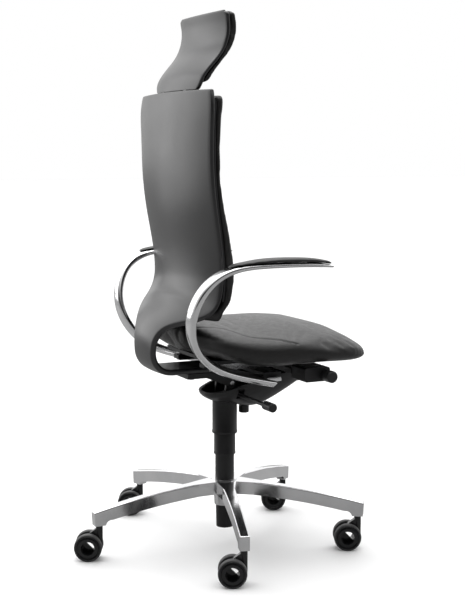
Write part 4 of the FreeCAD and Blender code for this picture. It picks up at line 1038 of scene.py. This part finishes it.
WHEEL_RADIUS = 32.5
CASTER_TRAIL = 25.0
CASTER_TURN = math.radians(-25.5)
STEM_CIRCLE = 325.0
WHEEL_GAP = 9.0
WHEEL_OUTSIDE = WHEEL_GAP + 16.0
# Closed loops round the wheel's axle: distance from the caster's middle, radius.
RIM_PROFILE = [
    (WHEEL_GAP, 20.05), (WHEEL_GAP, 27.6), (WHEEL_GAP + 0.8, 28.8), (WHEEL_OUTSIDE - 1.2, 28.8),
    (WHEEL_OUTSIDE - 0.2, 28.0), (WHEEL_OUTSIDE, 27.0), (WHEEL_OUTSIDE - 1.4, 25.2),
    (WHEEL_OUTSIDE - 1.8, 23.6), (WHEEL_OUTSIDE - 1.6, 22.4), (WHEEL_OUTSIDE - 1.0, 21.4),
    (WHEEL_OUTSIDE - 1.0, 20.05),
]
TREAD_PROFILE = [
    (WHEEL_GAP + 0.4, 28.7), (WHEEL_GAP, 30.4), (WHEEL_GAP + 0.5, 31.4), (WHEEL_GAP + 1.5, 32.2),
    (WHEEL_GAP + 3.0, 32.5), (WHEEL_OUTSIDE - 3.6, 32.5), (WHEEL_OUTSIDE - 1.9, 32.15),
    (WHEEL_OUTSIDE - 0.9, 31.3), (WHEEL_OUTSIDE - 0.3, 30.2), (WHEEL_OUTSIDE - 0.9, 28.7),
]


def axle_place(number):
    """Middle of a caster's axle, and the axle's direction."""
    angle = math.radians(90 + 72 * (number - 1))
    trail = Vector((-math.sin(CASTER_TURN), math.cos(CASTER_TURN), 0)) * CASTER_TRAIL
    axle = Vector((math.cos(CASTER_TURN), math.sin(CASTER_TURN), 0))
    stem = Vector((STEM_CIRCLE * math.cos(angle), STEM_CIRCLE * math.sin(angle), WHEEL_RADIUS))
    return stem + trail, axle


def make_wheels(materials):
    """Each wheel is a gloss rim ring with a dished face, and a soft tread with rounded shoulders."""
    for number in CASTERS:
        middle, axle = axle_place(number)
        for label, direction in (("left", 1), ("right", -1)):
            outward = axle * direction
            name = f"caster_{number}_wheel_{label}"
            body = body_of(name)
            rim = closed_turned(name + "_rim", RIM_PROFILE, middle, outward, 72)
            sharpen(rim, 50)
            finish_piece(rim, body, "gloss_black_plastic", [materials["gloss_black_plastic"]], name)
            tread = closed_turned(name + "_tread", TREAD_PROFILE, middle, outward, 96)
            finish_piece(tread, body, "tread", [materials["tread"]])


def body_of(node):
    for name, nodes in frame["record"]["behaviour"]["bodies"].items():
        if node in nodes:
            return name
    raise KeyError(node)


# Closed loops round the column: height, radius.
COVER_MIDDLE_PROFILE = [
    (220, 24.4), (220, 26.0), (221.2, 26.6), (224, 26.6), (225.2, 26.0), (296, 25.9), (300, 25.2),
    (300, 24.4),
]
COVER_UPPER_PROFILE = [
    (272, 28.4), (272, 30.2), (273.4, 30.9), (277.5, 30.9), (279, 30.1), (349.5, 30.0), (349.5, 28.4),
]


def make_column(materials):
    for node, profile, body in (("cover_middle", COVER_MIDDLE_PROFILE, "cover"),
                                ("cover_upper", COVER_UPPER_PROFILE, "mechanism")):
        piece = closed_turned("column_" + node, profile, (0, 0, 0), (0, 0, 1), 96)
        sharpen(piece, 40)
        finish_piece(piece, body, "black_plastic", [materials["black_plastic"]], node)


# A dial's outline, from its inner face out: distance from the chair's middle, radius.
DIAL_PROFILE = [
    (209.9, 0.5), (209.9, 12.6), (216, 13.6), (240.5, 13.9), (243.9, 11.5), (243.2, 5.0), (243.0, 0.5),
]


def make_controls(materials):
    black = materials["black_plastic"]
    profile = rounded_profile(DIAL_PROFILE, 1.6)
    for name, body, side in (("lock_dial", "lock_control", -1), ("depth_dial", "depth_control", 1)):
        piece = turned_piece(name, profile, (0, -160, 434), (side, 0, 0), segments=144, ridges=24,
                             ridge_depth=0.9, ridge_range=(217, 240))
        sharpen(piece, 40)
        finish_piece(piece, body, "black_plastic", [black])


# ------------------------------------------------------------------ carried-over CAD nodes

def dress_nodes(materials):
    """Every CAD node that still shows gets its slot's material."""
    for name, node in frame["nodes"].items():
        node.data.materials.clear()
        node.data.materials.append(materials[node_slot(name)])


NODE_SLOTS = {
    "polished_aluminium": ("base_star", "arm_right", "arm_left"),
    "black_steel": ("column_tube", "back_carrier", "seat_carrier", "seat_pan", "mechanism_housing",
                    "height_lever"),
    "bright_steel": ("piston_rod", "retaining_clip", "recline_shaft", "seat_pivot_shaft", "tilt_spring",
                     "gas_cylinder", "back_screws", "arm_screws", "rail_screws", "slide_rails",
                     "thrust_bearing"),
    "black_plastic": ("cover_middle", "cover_upper", "height_lever_grip", "tension_knob", "lock_knob",
                      "depth_knob", "control_brackets", "headrest_guides", "back_inner_panel"),
    "shell_plastic": ("back_shell", "headrest_shell"),
    "bush_plastic": ("guide_bush",),
    "leather": ("arm_pad_right", "arm_pad_left", "seat_cushion", "back_cushion", "headrest_cushion"),
}


def node_slot(name):
    for slot_name, nodes in NODE_SLOTS.items():
        if name in nodes:
            return slot_name
    return "bright_steel" if name.endswith("stem") else "gloss_black_plastic"


def main():
    make_studio()
    materials = make_materials()
    dress_nodes(materials)
    make_seat_pad(materials)
    make_back_pad(materials)
    make_headrest_pad(materials)
    make_back_shell(materials)
    make_headrest_shell(materials)
    for label, side in SIDES.items():
        make_arm(materials, label, side)
        make_arm_pad(materials, label, side)
    make_wheels(materials)
    make_column(materials)
    make_controls(materials)


main()
